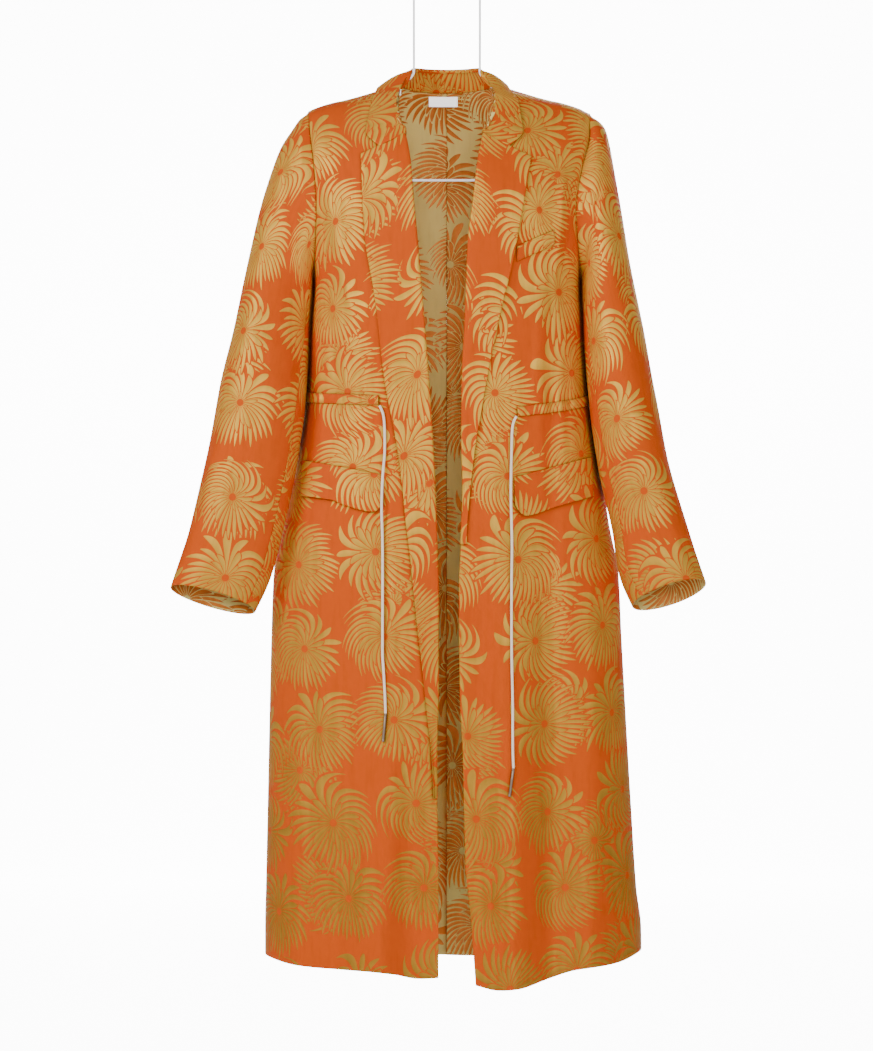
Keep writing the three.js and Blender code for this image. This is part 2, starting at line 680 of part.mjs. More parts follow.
// The y of a panel's own facets at a place seen from the front or back, and how steep it is there.
function facetY(grid, x, drop) {
  const z = -HANG_DROP - drop;
  for (let i = 0; i < grid.length - 1; i += 1) {
    for (let j = 0; j < grid[0].length - 1; j += 1) {
      const corners = [grid[i][j], grid[i + 1][j], grid[i + 1][j + 1], grid[i][j + 1]];
      for (const [a, b, c] of [[0, 1, 2], [0, 2, 3]]) {
        const found = facetAt(corners[a], corners[b], corners[c], x, z);
        if (found !== null) return found;
      }
    }
  }
  return null;
}

function facetAt(a, b, c, x, z) {
  const area = (b.x - a.x) * (c.z - a.z) - (c.x - a.x) * (b.z - a.z);
  if (Math.abs(area) < 1e-6) return null;
  const u = ((x - a.x) * (c.z - a.z) - (c.x - a.x) * (z - a.z)) / area;
  const v = ((b.x - a.x) * (z - a.z) - (x - a.x) * (b.z - a.z)) / area;
  if (u < -1e-6 || v < -1e-6 || u + v > 1 + 1e-6) return null;
  return a.y + u * (b.y - a.y) + v * (c.y - a.y);
}

// Where a panel's face stands at a place, its own facets first and its curve past its edges.
function standOf(grid, side, x, drop, facing) {
  const found = facetY(grid, x, drop);
  if (found !== null) return found;
  return facing < 0 ? frontY(side, Math.abs(x), drop) : backY(side, Math.abs(x), drop);
}

// A piece that lies on a front: rows of places, each point of the panel moved out by its own height.
function layOnFront(name, grid, side, places, heightAt) {
  const sign = SIDES[side];
  const nearY = (x, drop) => standOf(grid, side, sign * x, drop, -1);
  const slopeAt = (x, drop) => {
    const byX = (frontY(side, x + 2, drop) - frontY(side, x - 2, drop)) / 4;
    const byDrop = (frontY(side, x, drop + 2) - frontY(side, x, drop - 2)) / 4;
    return Math.sqrt(1 + byX ** 2 + byDrop ** 2);
  };
  const face = (extra) => places.map((row, i) => row.map(([x, drop], j) =>
    point(sign * x, nearY(x, drop) - (heightAt(i, j) + extra) * slopeAt(x, drop), drop)));
  addPiece(name, wallGeometry(face(WALL), face(0)), MATERIALS.cloth);
}

// The drop of a front's row, or of a place between two rows, at an x.
function rowDrop(front, row, x) {
  const dropOn = (points) => {
    let j = 0;
    while (j < points.length - 2 && Math.abs(points[j + 1].x) < x) j += 1;
    const [a, b] = [points[j], points[j + 1]];
    const share = (x - Math.abs(a.x)) / (Math.abs(b.x) - Math.abs(a.x));
    return -HANG_DROP - mix(a.z, b.z, share);
  };
  const from = Math.floor(row);
  return mix(dropOn(front[from]), dropOn(front[from + 1]), row - from);
}

function edgeOfRow(front, row) {
  const from = Math.floor(row);
  return mix(Math.abs(front[from][0].x), Math.abs(front[from + 1][0].x), row - from);
}

// The turned front edge: a gorge line at its top, then rows that follow the panel's own.
function buildLapel(side, front) {
  const edge = LAPEL_EDGE[side];
  const tipDrop = edge.rows[0][0];
  const last = edge.rows[edge.rows.length - 1][0];
  const tipX = edge.rows[0][1];
  const corner = FRONT_EDGE.at(side, GORGE_DROP);
  const places = [spaced(LAPEL_COLUMNS).map((share) =>
    [mix(corner, tipX, share), mix(GORGE_DROP, tipDrop, share) + SEAM_GAP])];
  for (let row = LAPEL_FIRST_ROW; row < front.length - 1; row += 0.5) {
    let free = tipX;
    for (let pass = 0; pass < 12; pass += 1) free = edge.at('x', rowDrop(front, row, free));
    if (rowDrop(front, row, free) > last - 10) break;
    places.push(spaced(LAPEL_COLUMNS).map((share) => {
      const x = mix(edgeOfRow(front, row), free, share);
      return [x, rowDrop(front, row, x)];
    }));
  }
  let endRow = LAPEL_FIRST_ROW;
  while (rowDrop(front, endRow, edge.at('x', last)) < last) endRow += 0.01;
  places.push(spaced(LAPEL_COLUMNS).map((share) => [mix(edgeOfRow(front, endRow), edge.at('x', last), share), last]));
  const lift = (i, j) => LIE_GAP + LAPEL_ROLL * Math.sin((Math.PI * j) / 8) ** 2 * (1 - i / places.length);
  layOnFront(`lapel_${side}`, front, side, places, lift);
}

// Shares across a panel from one place to another, with a stop on each of its columns and half way between.
function stops(start, end, columns) {
  const step = 0.5 / columns;
  const inside = spaced(2 * columns).filter((share) => share > start + step / 3 && share < end - step / 3);
  return [start, ...inside, end];
}

function buildFlap(side) {
  const flap = FLAP[side];
  const [first, last] = [flap.rows[0], flap.rows[flap.rows.length - 1]];
  const shares = stops(shareAtX(side, first[0], first[1]), shareAtX(side, last[0], last[1]), FRONT_COLUMNS);
  addStrip(`pocket_flap_${side}`, shares.map((share) => spaced(3).map((down) => {
    const x = xAtShare(side, share, first[1]);
    const drop = mix(flap.at('top', x), flap.at('bottom', x), down);
    return { ...skirtFacet(side, share, drop, true), height: FLAP_LIFT * down };
  })));
}

function buildWelt(front) {
  const places = spaced(2).map((down) => spaced(4).map((share) => {
    const x = mix(...WELT_SPAN, share);
    return [x, mix(WELT.at('top', x), WELT.at('bottom', x), down)];
  }));
  layOnFront('breast_welt', front, 'left', places, (i) => LIE_GAP + WELT_LIFT * i);
}

// A point of a panel's own facets below the underarm, by its share across and its drop, with the way out.
function skirtFacet(side, share, drop, isFront) {
  const pointAt = isFront ? frontPoint : backPoint;
  const hem = isFront ? FRONT_HEM : BACK_HEM;
  const columns = isFront ? FRONT_COLUMNS : BACK_COLUMNS;
  const across = roundShare(share);
  const start = mix(YOKE_END, UNDERARM_DROP, across);
  const down = (drop - start) / (hem.at(side, across) - start);
  const j = Math.min(columns - 1, Math.floor(share * columns));
  const i = Math.min(SKIRT_ROWS - 1, Math.floor(down * SKIRT_ROWS));
  const s = share * columns - j;
  const t = down * SKIRT_ROWS - i;
  const corner = (di, dj) => pointAt(side, (j + dj) / columns, (i + di) / SKIRT_ROWS);
  const a = corner(0, 0);
  const c = corner(1, 1);
  const b = t > s ? corner(1, 0) : corner(0, 1);
  const weights = t > s ? [1 - t, t - s, s] : [1 - s, s - t, t];
  const here = new THREE.Vector3();
  [a, b, c].forEach((p, k) => here.addScaledVector(p, weights[k]));
  const out = corner(1, 1).sub(corner(0, 0)).cross(corner(0, 1).sub(corner(1, 0))).normalize();
  const away = here.clone().setZ(0);
  return { here, out: out.dot(away) < 0 ? out.negate() : out };
}

const xAtShare = (side, share, drop) =>
  mix(FRONT_EDGE.at(side, drop), BODY.at(side, drop), roundShare(share));

// The share across a front whose x at the waist is the one asked for.
function shareAtX(side, x, drop) {
  const inner = FRONT_EDGE.at(side, drop);
  const across = (x - inner) / (BODY.at(side, drop) - inner);
  return Math.asin(across ** (HEM_ROUNDNESS / 2)) / (Math.PI / 2);
}

// The puffed strip that holds the drawstring, from the cord's exit to the side seam.
function buildCasingFront(side) {
  const { innerX, innerDrop, sideDrop } = CASING[side];
  const start = shareAtX(side, innerX, innerDrop);
  const places = stops(start, CASING_END, FRONT_COLUMNS).map((share) => spaced(CASING_BANDS).map((up) => {
    const along = (share - start) / (CASING_END - start);
    const centre = mix(innerDrop, sideDrop, along);
    const pucker = 1 + 0.25 * Math.sin(along * 23) * along;
    const height = CASING_PUFF * pucker * Math.sin(Math.PI * up);
    const found = skirtFacet(side, share, centre + CASING_HEIGHT * (up - 0.5), true);
    return { ...found, height };
  }));
  addStrip(`casing_front_${side}`, places);
}

function addStrip(name, places) {
  const face = (extra) => places.map((row) => row.map(({ here, out, height }) =>
    here.clone().addScaledVector(out, LIE_GAP + height + extra)));
  addPiece(name, wallGeometry(face(WALL), face(0)), MATERIALS.cloth);
}

function buildCasingBack() {
  const shares = stops(0, CASING_END, BACK_COLUMNS);
  const places = [
    ...shares.slice(1).reverse().map((share) => ['right', share]),
    ...shares.map((share) => ['left', share]),
  ].map(([side, share], k) => spaced(CASING_BANDS).map((up) => {
    const centre = mix(CASING_BACK_DROP, CASING[side].sideDrop, share);
    const pucker = 1 + 0.25 * Math.sin(k * 1.9);
    const found = skirtFacet(side, share, centre + CASING_HEIGHT * (up - 0.5), false);
    if (share === 0) flatten(found.out, 'x');
    return { ...found, height: CASING_PUFF * pucker * Math.sin(Math.PI * up) };
  }));
  addStrip('casing_back', places);
}

// The neck seam's points from one front's gorge round the back to the other, as the panels have them.
function neckSeam(fronts, backs) {
  const half = (side) => [
    ...[4, 3, 2, 1, 0].map((k) => fronts[side][k][0].clone()),
    backs[side][0][NECK_COLUMNS].clone().lerp(backs[side][0][3], 0.5),
    ...[3, 2, 1].map((j) => backs[side][0][j].clone()),
  ];
  return [...half('right'), backs.right[0][0].clone(), ...half('left').reverse()];
}

function collarRow(side, row) {
  const value = (name) => row[COLLAR.indexOf(name)];
  const sign = SIDES[side];
  const title = side === 'right' ? 'Right' : 'Left';
  const fold = point(sign * value(`fold${title}`), value('foldY'), value('foldDrop'));
  const edgeX = value(`edge${title}`);
  const edgeDrop = value('edgeDrop');
  return { fold, edgeX: sign * edgeX, edgeDrop, lies: value('lies') };
}

// Moves a point of the collar out until it stands clear of the panels under it.
function standClear(p, panels, gap) {
  const nearest = new THREE.Vector3();
  const found = new THREE.Vector3();
  let least = Infinity;
  for (const panel of panels) {
    for (let i = 0; i < COLLAR_REACH; i += 1) {
      for (let j = 0; j < panel[0].length - 1; j += 1) {
        const corners = [panel[i][j], panel[i + 1][j], panel[i + 1][j + 1], panel[i][j + 1]];
        for (const [a, b, c] of [[0, 1, 2], [0, 2, 3]]) {
          new THREE.Triangle(corners[a], corners[b], corners[c]).closestPointToPoint(p, found);
          const distance = found.distanceTo(p);
          if (distance < least) {
            least = distance;
            nearest.copy(found);
          }
        }
      }
    }
  }
  const away = p.clone().sub(nearest);
  const isOutside = away.dot(nearest.clone().sub(bodyMiddle(nearest))) > 0;
  if (isOutside && least >= gap) return;
  p.copy(nearest).addScaledVector(isOutside ? away.normalize() : away.normalize().negate(), gap);
}

// One line of the collar's fall, from its fold to its free edge.
function fallLine(side, row, panels, isGorge) {
  const { fold, edgeX, edgeDrop, lies } = collarRow(side, row);
  const facing = lies === 'back' ? 1 : -1;
  const panel = panels[lies === 'back' ? 'backs' : 'fronts'][side];
  let edge = point(edgeX, RIDGE_BACK - 3, RIDGE.at('drop', Math.abs(edgeX)) - COLLAR_CLEAR);
  if (lies !== 'ridge') {
    edge = point(edgeX, standOf(panel, side, edgeX, edgeDrop, facing) + facing * COLLAR_CLEAR, edgeDrop);
  }
  return spaced(4).map((share) => {
    const here = fold.clone().lerp(edge, share);
    const bulge = Math.sin(Math.PI * share);
    if (!isGorge) here.z += (lies === 'front' ? 1 : 3.5) * bulge;
    if (lies !== 'ridge') here.y += facing * 2 * bulge;
    return here;
  });
}

// The same rows with one more half way between each two.
const doubled = (rows) => rows.flatMap((row, i) =>
  (i === 0 ? [row] : [row.map((p, j) => p.clone().lerp(rows[i - 1][j], 0.5)), row]));

function buildCollar(fronts, backs) {
  const line = (side) => COLLAR_ROWS.map((row, i) => fallLine(side, row, { fronts, backs }, i === 0));
  const grid = doubled([...line('right'), ...line('left').slice(0, -1).reverse()]);
  for (const end of [grid[0], grid[grid.length - 1]]) end.forEach((p) => p.setZ(p.z + SEAM_GAP));
  grid.forEach((row) => row.forEach((p) => {
    const side = p.x < 0 ? 'right' : 'left';
    standClear(p, [fronts[side], backs[side]], COLLAR_CLEAR);
  }));
  const normals = inwardNormals(grid, (p) => new THREE.Vector3(0, 0, p.z - COLLAR_AIM_BELOW));
  for (const end of [normals[0], normals[normals.length - 1]]) end.forEach((n) => flatten(n, 'z'));
  addWall('collar_fall', grid, normals);
  const feet = doubled(neckSeam(fronts, backs).map((foot) => [foot]));
  const stand = feet.map(([foot], i) => {
    const top = grid[i + 4][0].clone().addScaledVector(normals[i + 4][0], WALL + STAND_GAP);
    const up = top.clone().sub(foot).normalize();
    return [foot.clone().addScaledVector(up, SEAM_GAP), foot.clone().lerp(top, 0.5), top];
  });
  const standNormals = inwardNormals(stand, (p) => new THREE.Vector3(0, 0, p.z));
  stand.forEach((row, i) => {
    standNormals[i][0] = neckInward(row[0]);
  });
  addWall('collar_stand', stand, standNormals);
}

// The blank label inside the neck, across the centre back seam.
function buildLabel(backs) {
  const { left, right, top, bottom, thickness } = LABEL;
  const face = (extra) => [left, 0, right].map((x) => spaced(2).map((down) => {
    const drop = mix(top, bottom, down);
    const panel = x < 0 ? backs.right : backs.left;
    return point(x, facetY(panel, x, drop) - LABEL_CLEAR - extra, drop);
  }));
  addPiece('neck_label', wallGeometry(face(thickness), face(0)), MATERIALS.label);
}

// A round rod or cord along a smooth line through its points.
function addTube(name, points, radius, sides, steps, material) {
  const section = new THREE.Shape();
  for (let k = 0; k < sides; k += 1) {
    const turn = (2 * Math.PI * k) / sides;
    const place = [radius * Math.cos(turn), radius * Math.sin(turn)];
    if (k === 0) section.moveTo(...place);
    else section.lineTo(...place);
  }
  section.closePath();
  const path = points.length > 2 ? new THREE.CatmullRomCurve3(points, false, 'centripetal')
    : new THREE.LineCurve3(...points);
  addPiece(name, new THREE.ExtrudeGeometry(section, { steps, bevelEnabled: false, extrudePath: path }), material);
}

// One free end of the drawstring, with the metal aglet below it.
function buildDrawstring(side) {
  const { route, aglet } = CORD[side];
  const line = route.map(([x, y, drop]) => point(x, y, drop));
  addTube(`cord_${side}`, line, CORD_DIAMETER / 2, CORD_SIDES, CORD_STEPS, MATERIALS.cord);
  const ends = aglet.map(([x, y, drop]) => point(x, y, drop));
  addTube(`aglet_${side}`, ends, AGLET_DIAMETER / 2, AGLET_SIDES, AGLET_STEPS, MATERIALS.aglet);
}

// The slim frame: a top bar, two uprights that pass inside the neck, a crossbar and two shoulder arms.
function buildHanger() {
  const top = -HANG_DROP + ROD_RADIUS;
  addTube('hanger_top_bar', [point(-TOP_BAR_HALF, 0, top), point(TOP_BAR_HALF, 0, top)], ROD_RADIUS, ROD_SIDES, 1, MATERIALS.rod);
  addTube('hanger_crossbar', [point(-LOWER_X + ROD_RADIUS + SEAM_GAP, 0, CROSSBAR_DROP),
    point(LOWER_X - ROD_RADIUS - SEAM_GAP, 0, CROSSBAR_DROP)], ROD_RADIUS, ROD_SIDES, 1, MATERIALS.rod);
  for (const side of Object.keys(SIDES)) {
    const sign = SIDES[side];
    const upright = [[UPPER_X, top + ROD_RADIUS + SEAM_GAP], ...UPRIGHT_BEND, [LOWER_X, CROSSBAR_DROP + 3]];
    addTube(`hanger_upright_${side}`, upright.map(([x, drop]) => point(sign * x, 0, drop)),
      ROD_RADIUS, ROD_SIDES, UPRIGHT_STEPS, MATERIALS.rod);
    const tip = ARMHOLE.at(side, 0);
    const under = ARM_STOPS.map((share) => mix(NECK_HALF_WIDTH, tip, share));
    const arm = [
      point(sign * (LOWER_X + ROD_RADIUS + SEAM_GAP), ARM_Y, ARM_START_DROP),
      ...under.map((x) => point(sign * x, ARM_Y, RIDGE.at('drop', x) + ARM_BELOW)),
    ];
    addTube(`hanger_arm_${side}`, arm, ARM_RADIUS, ROD_SIDES, ARM_STEPS, MATERIALS.rod);
  }
}

const fronts = {};
const backs = {};
for (const side of Object.keys(SIDES)) {
  fronts[side] = buildFront(side);
  backs[side] = buildBack(side);
  buildSleeve(side, fronts[side], backs[side]);
  buildLapel(side, fronts[side]);
  buildFlap(side);
  buildCasingFront(side);
}
buildWelt(fronts.left);
buildCasingBack();
buildCollar(fronts, backs);
buildLabel(backs);
for (const side of Object.keys(SIDES)) buildDrawstring(side);
buildHanger();

export default coat;
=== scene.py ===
"""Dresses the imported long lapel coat: satin jacquard cloth, cords, metal ends, label and rod hanger."""

import math

import bpy
import numpy as np
from bpy.props import FloatProperty, FloatVectorProperty, PointerProperty
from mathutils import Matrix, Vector
from mathutils.bvhtree import BVHTree


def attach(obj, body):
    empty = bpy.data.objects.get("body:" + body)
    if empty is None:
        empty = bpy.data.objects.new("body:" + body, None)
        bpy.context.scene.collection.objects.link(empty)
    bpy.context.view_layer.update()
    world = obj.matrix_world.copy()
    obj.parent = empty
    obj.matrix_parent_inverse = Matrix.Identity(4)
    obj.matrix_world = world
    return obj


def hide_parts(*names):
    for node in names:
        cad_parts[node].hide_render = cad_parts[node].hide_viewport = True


bl_info = {
    "name": "Long lapel coat",
    "version": (1, 0, 0),
    "blender": (4, 5, 0),
    "location": "3D View > Sidebar > Coat",
    "description": "Makes the satin coat, its cords and its rod hanger around the packed frame",
    "category": "Object",
}

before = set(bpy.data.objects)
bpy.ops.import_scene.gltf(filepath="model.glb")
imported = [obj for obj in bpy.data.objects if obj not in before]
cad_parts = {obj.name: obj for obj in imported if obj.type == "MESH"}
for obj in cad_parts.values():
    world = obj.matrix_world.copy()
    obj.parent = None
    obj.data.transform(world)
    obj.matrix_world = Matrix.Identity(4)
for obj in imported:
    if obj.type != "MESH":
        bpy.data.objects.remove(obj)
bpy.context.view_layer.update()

MM = 0.001
BLACK = (0, 0, 0, 1)
WHITE = (1.0, 1.0, 1.0, 1.0)
FORWARD = np.array([0, -1, 0])
BACKWARD = np.array([0, 1, 0])
UPWARD = np.array([0, 0, 1])

# The photo's height and pixel, in pixels and millimetres, and where the camera and the coat's front stand.
PHOTO_HEIGHT = 1051
PHOTO_PIXEL = 1.27
SENSOR_MM = 36
CAMERA_X = -0.0133
CAMERA_Z = -0.681
FRONT_PLANE = 0.06

# The stage, in metres: its floor and wall, its glow, and its lights with their place, size and power.
STAGE_HALF_WIDTH = 9
FLOOR_Z = -1.62
WALL_Y = 8.4
WALL_TOP = 6.0
CORNER_RADIUS = 1.5
GLOW_START = 0.6
GLOW_APEX = -6.6
GLOW_TOP = 1.4
GLOW_SPREAD = 0.092
GLOW_FADES = (1.6, 0.25, 0.4)
GLOW_STRENGTH = 11.0
SKY_STRENGTH = 0.3
AIM = (0, 0, -0.45)
LIGHTS = [
    ("key", (-3.0, -2.4, 1.0), 1.2, 92), ("fill", (2.8, -3.2, 0.1), 2.0, 32),
    ("front", (0.2, -4.6, 0.3), 1.6, 80), ("behind", (1.2, 4.0, 1.2), 2.0, 60),
]

# Sizes of the garment in millimetres, as the solids have them. A drop counts down from the collar's top.
HANG_DROP = 95
UNDERARM_DROP = 281
YOKE_END = 285
HEM_ROUNDNESS = 2.4
SHOULDER_HEIGHT = 150
NECK_HALF_WIDTH = 62
NECK_BACK_DEPTH = 60
NECK_SIDE_DROP = 20
NECK_BACK_FALL = 7
RIDGE_BACK = 5
SEAM_FORWARD = 12
GORGE_DROP = 89
SIDES = {"right": -1, "left": 1}

# How thick the cloth is, on the panels and on the trim, and how far pieces lie clear of what is under them.
CLOTH = 1.0
TRIM_CLOTH = 0.9
CASING_CLOTH = 0.8
LABEL_CLOTH = 0.5
LIE = 0.5
LABEL_LIE = 0.8
CORD_LIE = 2.1
TIP_LIE = 2.4
FALL_LIE = 3
FALL_ROOM = 2.2
FLAP_STANDS = 4.6
FLAP_DROPS = (505, 572)
# How the lapel, the collar's fold and the cloth's edges turn, and the steepest slope that a piece follows.
LAPEL_TURN = 0.8
FOLD_RADIUS = 1.6
EDGE_TURN = 1.3
TUCK_SHARE = 0.3
STEEPEST = 6

# Where on the roll of cloth each piece is cut, in metres.
PATTERN = {
    "front_right": (0.31, 0.10), "front_left": (0.72, 0.42),
    "back_right": (1.4, 0.24), "back_left": (1.9, 0.66),
    "top_sleeve_right": (3.1, 0.2), "top_sleeve_left": (3.9, 0.55),
    "under_sleeve_right": (3.5, 0.5), "under_sleeve_left": (4.3, 0.85),
    "lapel_right": (5.3, 0.31), "lapel_left": (6.1, 0.12),
    "collar_fall": (7.2, 0.4), "collar_stand": (8.6, 0.1),
    "pocket_flap_right": (9.3, 0.2), "pocket_flap_left": (10.2, 0.35), "breast_welt": (11.4, 0.3),
    "casing_front_right": (12.5, 0.3), "casing_front_left": (13.5, 0.3), "casing_back": (14.5, 0.3),
}


class Table:
    """A short table read by its first column, with a smooth curve through the rows that never overshoots."""

    def __init__(self, names, rows):
        values = np.array(rows, float)
        self.keys = values[:, 0]
        self.columns = {name: values[:, k] for k, name in enumerate(names)}

    def slopes(self, column):
        steps = np.diff(column) / np.diff(self.keys)
        before, after = steps[:-1], steps[1:]
        same = before * after > 0
        total = np.where(same, before + after, 1)
        middle = np.where(same, 2 * before * after / total, 0)
        return np.concatenate([steps[:1], middle, steps[-1:]])

    def at(self, name, place):
        column = self.columns[name]
        place = np.clip(np.asarray(place, float), self.keys[0], self.keys[-1])
        i = np.clip(np.searchsorted(self.keys, place, side="right") - 1, 0, len(self.keys) - 2)
        span = self.keys[i + 1] - self.keys[i]
        t = (place - self.keys[i]) / span
        slopes = self.slopes(column)
        eased = t * t * (3 - 2 * t)
        low, high = column[i], column[i + 1]
        rise, fall = slopes[i] * span, slopes[i + 1] * span
        return low + (high - low) * eased + rise * t * (1 - t) ** 2 - fall * t * t * (1 - t)


BODY = Table(["drop", "right", "left", "depth"], [
    [0, 212, 212, 105], [120, 197, 197, 105], [185, 186, 186, 105], [240, 177.5, 177.5, 105],
    [281, 171.5, 172, 105], [350, 177, 178.5, 104], [427, 183, 184, 99], [503, 194, 197, 103],
    [579, 208, 207, 108], [650, 222, 220, 111], [731, 225, 224, 114], [960, 230, 237, 120],
    [1051, 232, 243, 122], [1100, 233, 249, 124], [1180, 233, 250, 126],
])
RIDGE = Table(["x", "drop"], [
    [40, 12.5], [62, 18.5], [91, 27.5], [131, 39], [147, 42.5], [172, 51], [177, 54], [185, 58],
])
FRONT_EDGE = Table(["drop", "right", "left"], [
    [20, 62, 62], [32, 65, 63.5], [45, 66, 63], [58, 64.5, 60], [73, 60, 54], [89, 53, 46],
    [127, 46, 38.5], [169, 42.5, 33.5], [229, 37, 26.5], [330, 28.5, 22.5], [401, 23, 19],
    [479, 18, 18.5], [537, 15, 20], [596, 13, 18], [673, 11, 15], [791, 11, 16], [882, 13, 20],
    [1011, 11, 23], [1082, 11, 30], [1165, 11, 36],
])
ARMHOLE = Table(["drop", "right", "left"], [
    [62, 177, 183], [90, 174, 182], [130, 169, 172], [185, 166, 163.5], [240, 168, 167.5], [281, 171.5, 172],
])
FRONT_HEM = Table(["share", "right", "left"], [
    [0, 1155, 1165], [0.12, 1157, 1171], [0.25, 1151, 1169], [0.4, 1147, 1160], [0.6, 1146, 1147],
    [0.85, 1141, 1140], [1, 1134, 1128],
])
BACK_HEM = Table(["share", "right", "left"], [
    [0, 1147, 1147], [0.5, 1145, 1148], [0.8, 1141, 1141], [1, 1134, 1128],
])
FOLD_NAMES = ("top", "foot", "x_top", "x_foot", "half_width", "height")
FRONT_FOLDS = {
    "right": [
        (300, 1180, 128, 150, 20, -4), (640, 1250, 92, 96, 26, 7),
        (560, 1250, 50, 44, 15, -5), (700, 1260, 190, 196, 18, 5),
    ],
    "left": [
        (210, 420, 138, 132, 10, -3), (470, 1250, 72, 92, 20, 8), (560, 1230, 46, 50, 12, -5),
        (640, 1260, 140, 150, 22, -6), (700, 1260, 192, 200, 22, 6),
    ],
}
BACK_FOLDS = {
    "right": [(430, 1250, 60, 84, 26, 6), (430, 1250, 118, 150, 24, -6)],
    "left": [(430, 1250, 66, 78, 24, 5), (450, 1250, 122, 146, 26, -7)],
}
# Short slanting folds of the fronts, each from one place to another: drop, x, drop, x, half-width, height.
DRAPES = {
    "right": [
        (180, 150, 330, 118, 7, 2.4), (250, 160, 400, 140, 6, -2.0), (455, 120, 505, 150, 6, 1.6),
        (590, 60, 1120, 78, 9, 3.0), (640, 170, 1120, 176, 10, -2.6),
    ],
    "left": [
        (150, 150, 300, 136, 6, 3.2), (200, 160, 330, 128, 6, -2.4), (300, 120, 420, 112, 7, 1.8),
        (500, 58, 1100, 70, 8, 3.4), (620, 118, 1130, 122, 9, -2.8),
    ],
}
LAPEL_EDGE = {
    "right": Table(["drop", "x"], [
        [116, 108.5], [182, 106], [222, 103], [300, 90], [401, 79], [474, 65], [526, 57.5],
        [584, 52], [630, 46], [706, 38], [780, 30], [819, 26], [882, 19], [930, 17],
    ]),
    "left": Table(["drop", "x"], [
        [119, 106], [157, 100], [208, 91], [268, 79], [300, 71], [370, 56], [430, 45],
        [498, 34], [577, 26], [610, 24],
    ]),
}
# Lines across the collar, from its front end to the middle of the back: drop, y, right x and left x of the
# fold, drop, right x and left x of the edge, and what the line lies on.
COLLAR_ROWS = [
    (89, -78.5, 53, 46, 105.2, 86, 79, "front"),
    (80, -72, 53.6, 47, 86, 103.5, 97, "front"),
    (64, -61, 54, 49.5, 69, 101, 95, "front"),
    (48, -47, 54, 50, 54, 98, 93, "front"),
    (34, -34, 53.5, 48, 42, 95, 90.5, "front"),
    (18, -18, 51.5, 47, 33.5, 92.5, 84, "front"),
    (3, -2, 48, 46, 0, 89, 77, "ridge"),
    (1, 8, 46.5, 45, 32, 86, 75, "back"),
    (-1, 17, 44, 43, 34, 78, 70, "back"),
    (-2, 36, 34, 33.5, 41.5, 58, 54, "back"),
    (-2, 49, 18.5, 18.5, 46.5, 32, 31, "back"),
    (-2, 54, 0, 0, 48, 0, 0, "back"),
]
SLEEVE_COLUMNS = ["ring", "outer_x", "outer_drop", "inner_x", "inner_drop", "half_depth", "forward"]
SLEEVE_ROWS = {
    "right": [
        (188, 64, 170, 284.5, 57, 1), (198, 79, 169.6, 290, 56, 1), (212, 100, 169.6, 300, 54, 2),
        (226, 137, 170.3, 314, 52, 3), (239, 179, 171.5, 330, 50, 5), (250, 227, 172.5, 348, 52, 10),
        (262, 284, 174.5, 371, 55, 19), (273, 340, 177.5, 401, 56, 31), (288, 401, 181, 443, 53, 43),
        (301, 477, 188, 493, 47, 53), (314, 536, 197, 544, 42, 58), (329, 599, 210, 602, 36, 63),
        (340, 632, 223.5, 653, 33, 66), (351, 665, 243, 695, 30, 68),
    ],
    "left": [
        (193, 66, 170.3, 284.5, 58, 1), (203, 77.5, 170, 289.5, 58, 1), (209, 100, 169.8, 298, 59, 2),
        (215.5, 137, 170, 308, 60, 3), (223.5, 182, 170.5, 319, 62, 5), (234, 249, 171, 333, 65, 11),
        (244, 300, 173, 357, 67, 20), (251.5, 338, 176, 382, 67, 29), (262, 401, 180, 420, 65, 42),
        (270, 443, 183.5, 455, 62, 48), (279, 495, 190.5, 503, 58, 54), (287, 528, 197, 538, 54, 58),
        (303.5, 582, 210, 592, 47, 62), (316, 622, 217, 645, 42, 65), (329, 660, 235, 688, 38, 68),
    ],
}
CUFF_TILT = math.radians(23)
TILT_ROW = 5
# Creases of a sleeve: how far down, where round it in degrees, their size each way, height and slant.
SLEEVE_CREASES = {
    "right": [
        (60, 60, 9, 40, -2.2, 0.35), (210, 100, 12, 35, -2.4, -0.4), (250, 120, 14, 40, -2.6, -0.5),
        (330, 80, 16, 35, 2.0, 0.3), (380, 110, 14, 30, -2.4, -0.45), (470, 70, 20, 30, 1.8, 0.4),
        (120, 45, 60, 14, 2.0, 0.0), (500, 110, 60, 12, -2.0, 0.0), (420, 40, 80, 10, 1.8, 0.0),
    ],
    "left": [
        (40, 80, 9, 35, -2.4, -0.3), (190, 90, 13, 35, -2.2, 0.45), (260, 110, 14, 40, -2.6, 0.4),
        (340, 75, 18, 30, 2.0, -0.35), (410, 105, 16, 36, -2.4, 0.4), (500, 85, 18, 30, -1.6, -0.4),
        (140, 50, 70, 12, -1.8, 0.0), (470, 60, 80, 12, 2.0, 0.0),
    ],
}
FRONT_ROWS = 10
BACK_ROWS = 9
FRONT_SEAM_STEP = 8
BACK_SEAM_STEP = 7
CASING_HEIGHT = 13
CASING_PUFF = 1.7
CASING = {
    "right": {"inner_x": 86, "inner_drop": 427.5, "side_drop": 421.5},
    "left": {"inner_x": 88.5, "inner_drop": 442, "side_drop": 422.5},
}
CASING_BACK_DROP = 420
CASING_SIDE_X = 174
CASING_END = 0.985
CASING_NODES = ("casing_front_right", "casing_front_left", "casing_back")
FALL_LINES = 177
STAND_INSET = 17
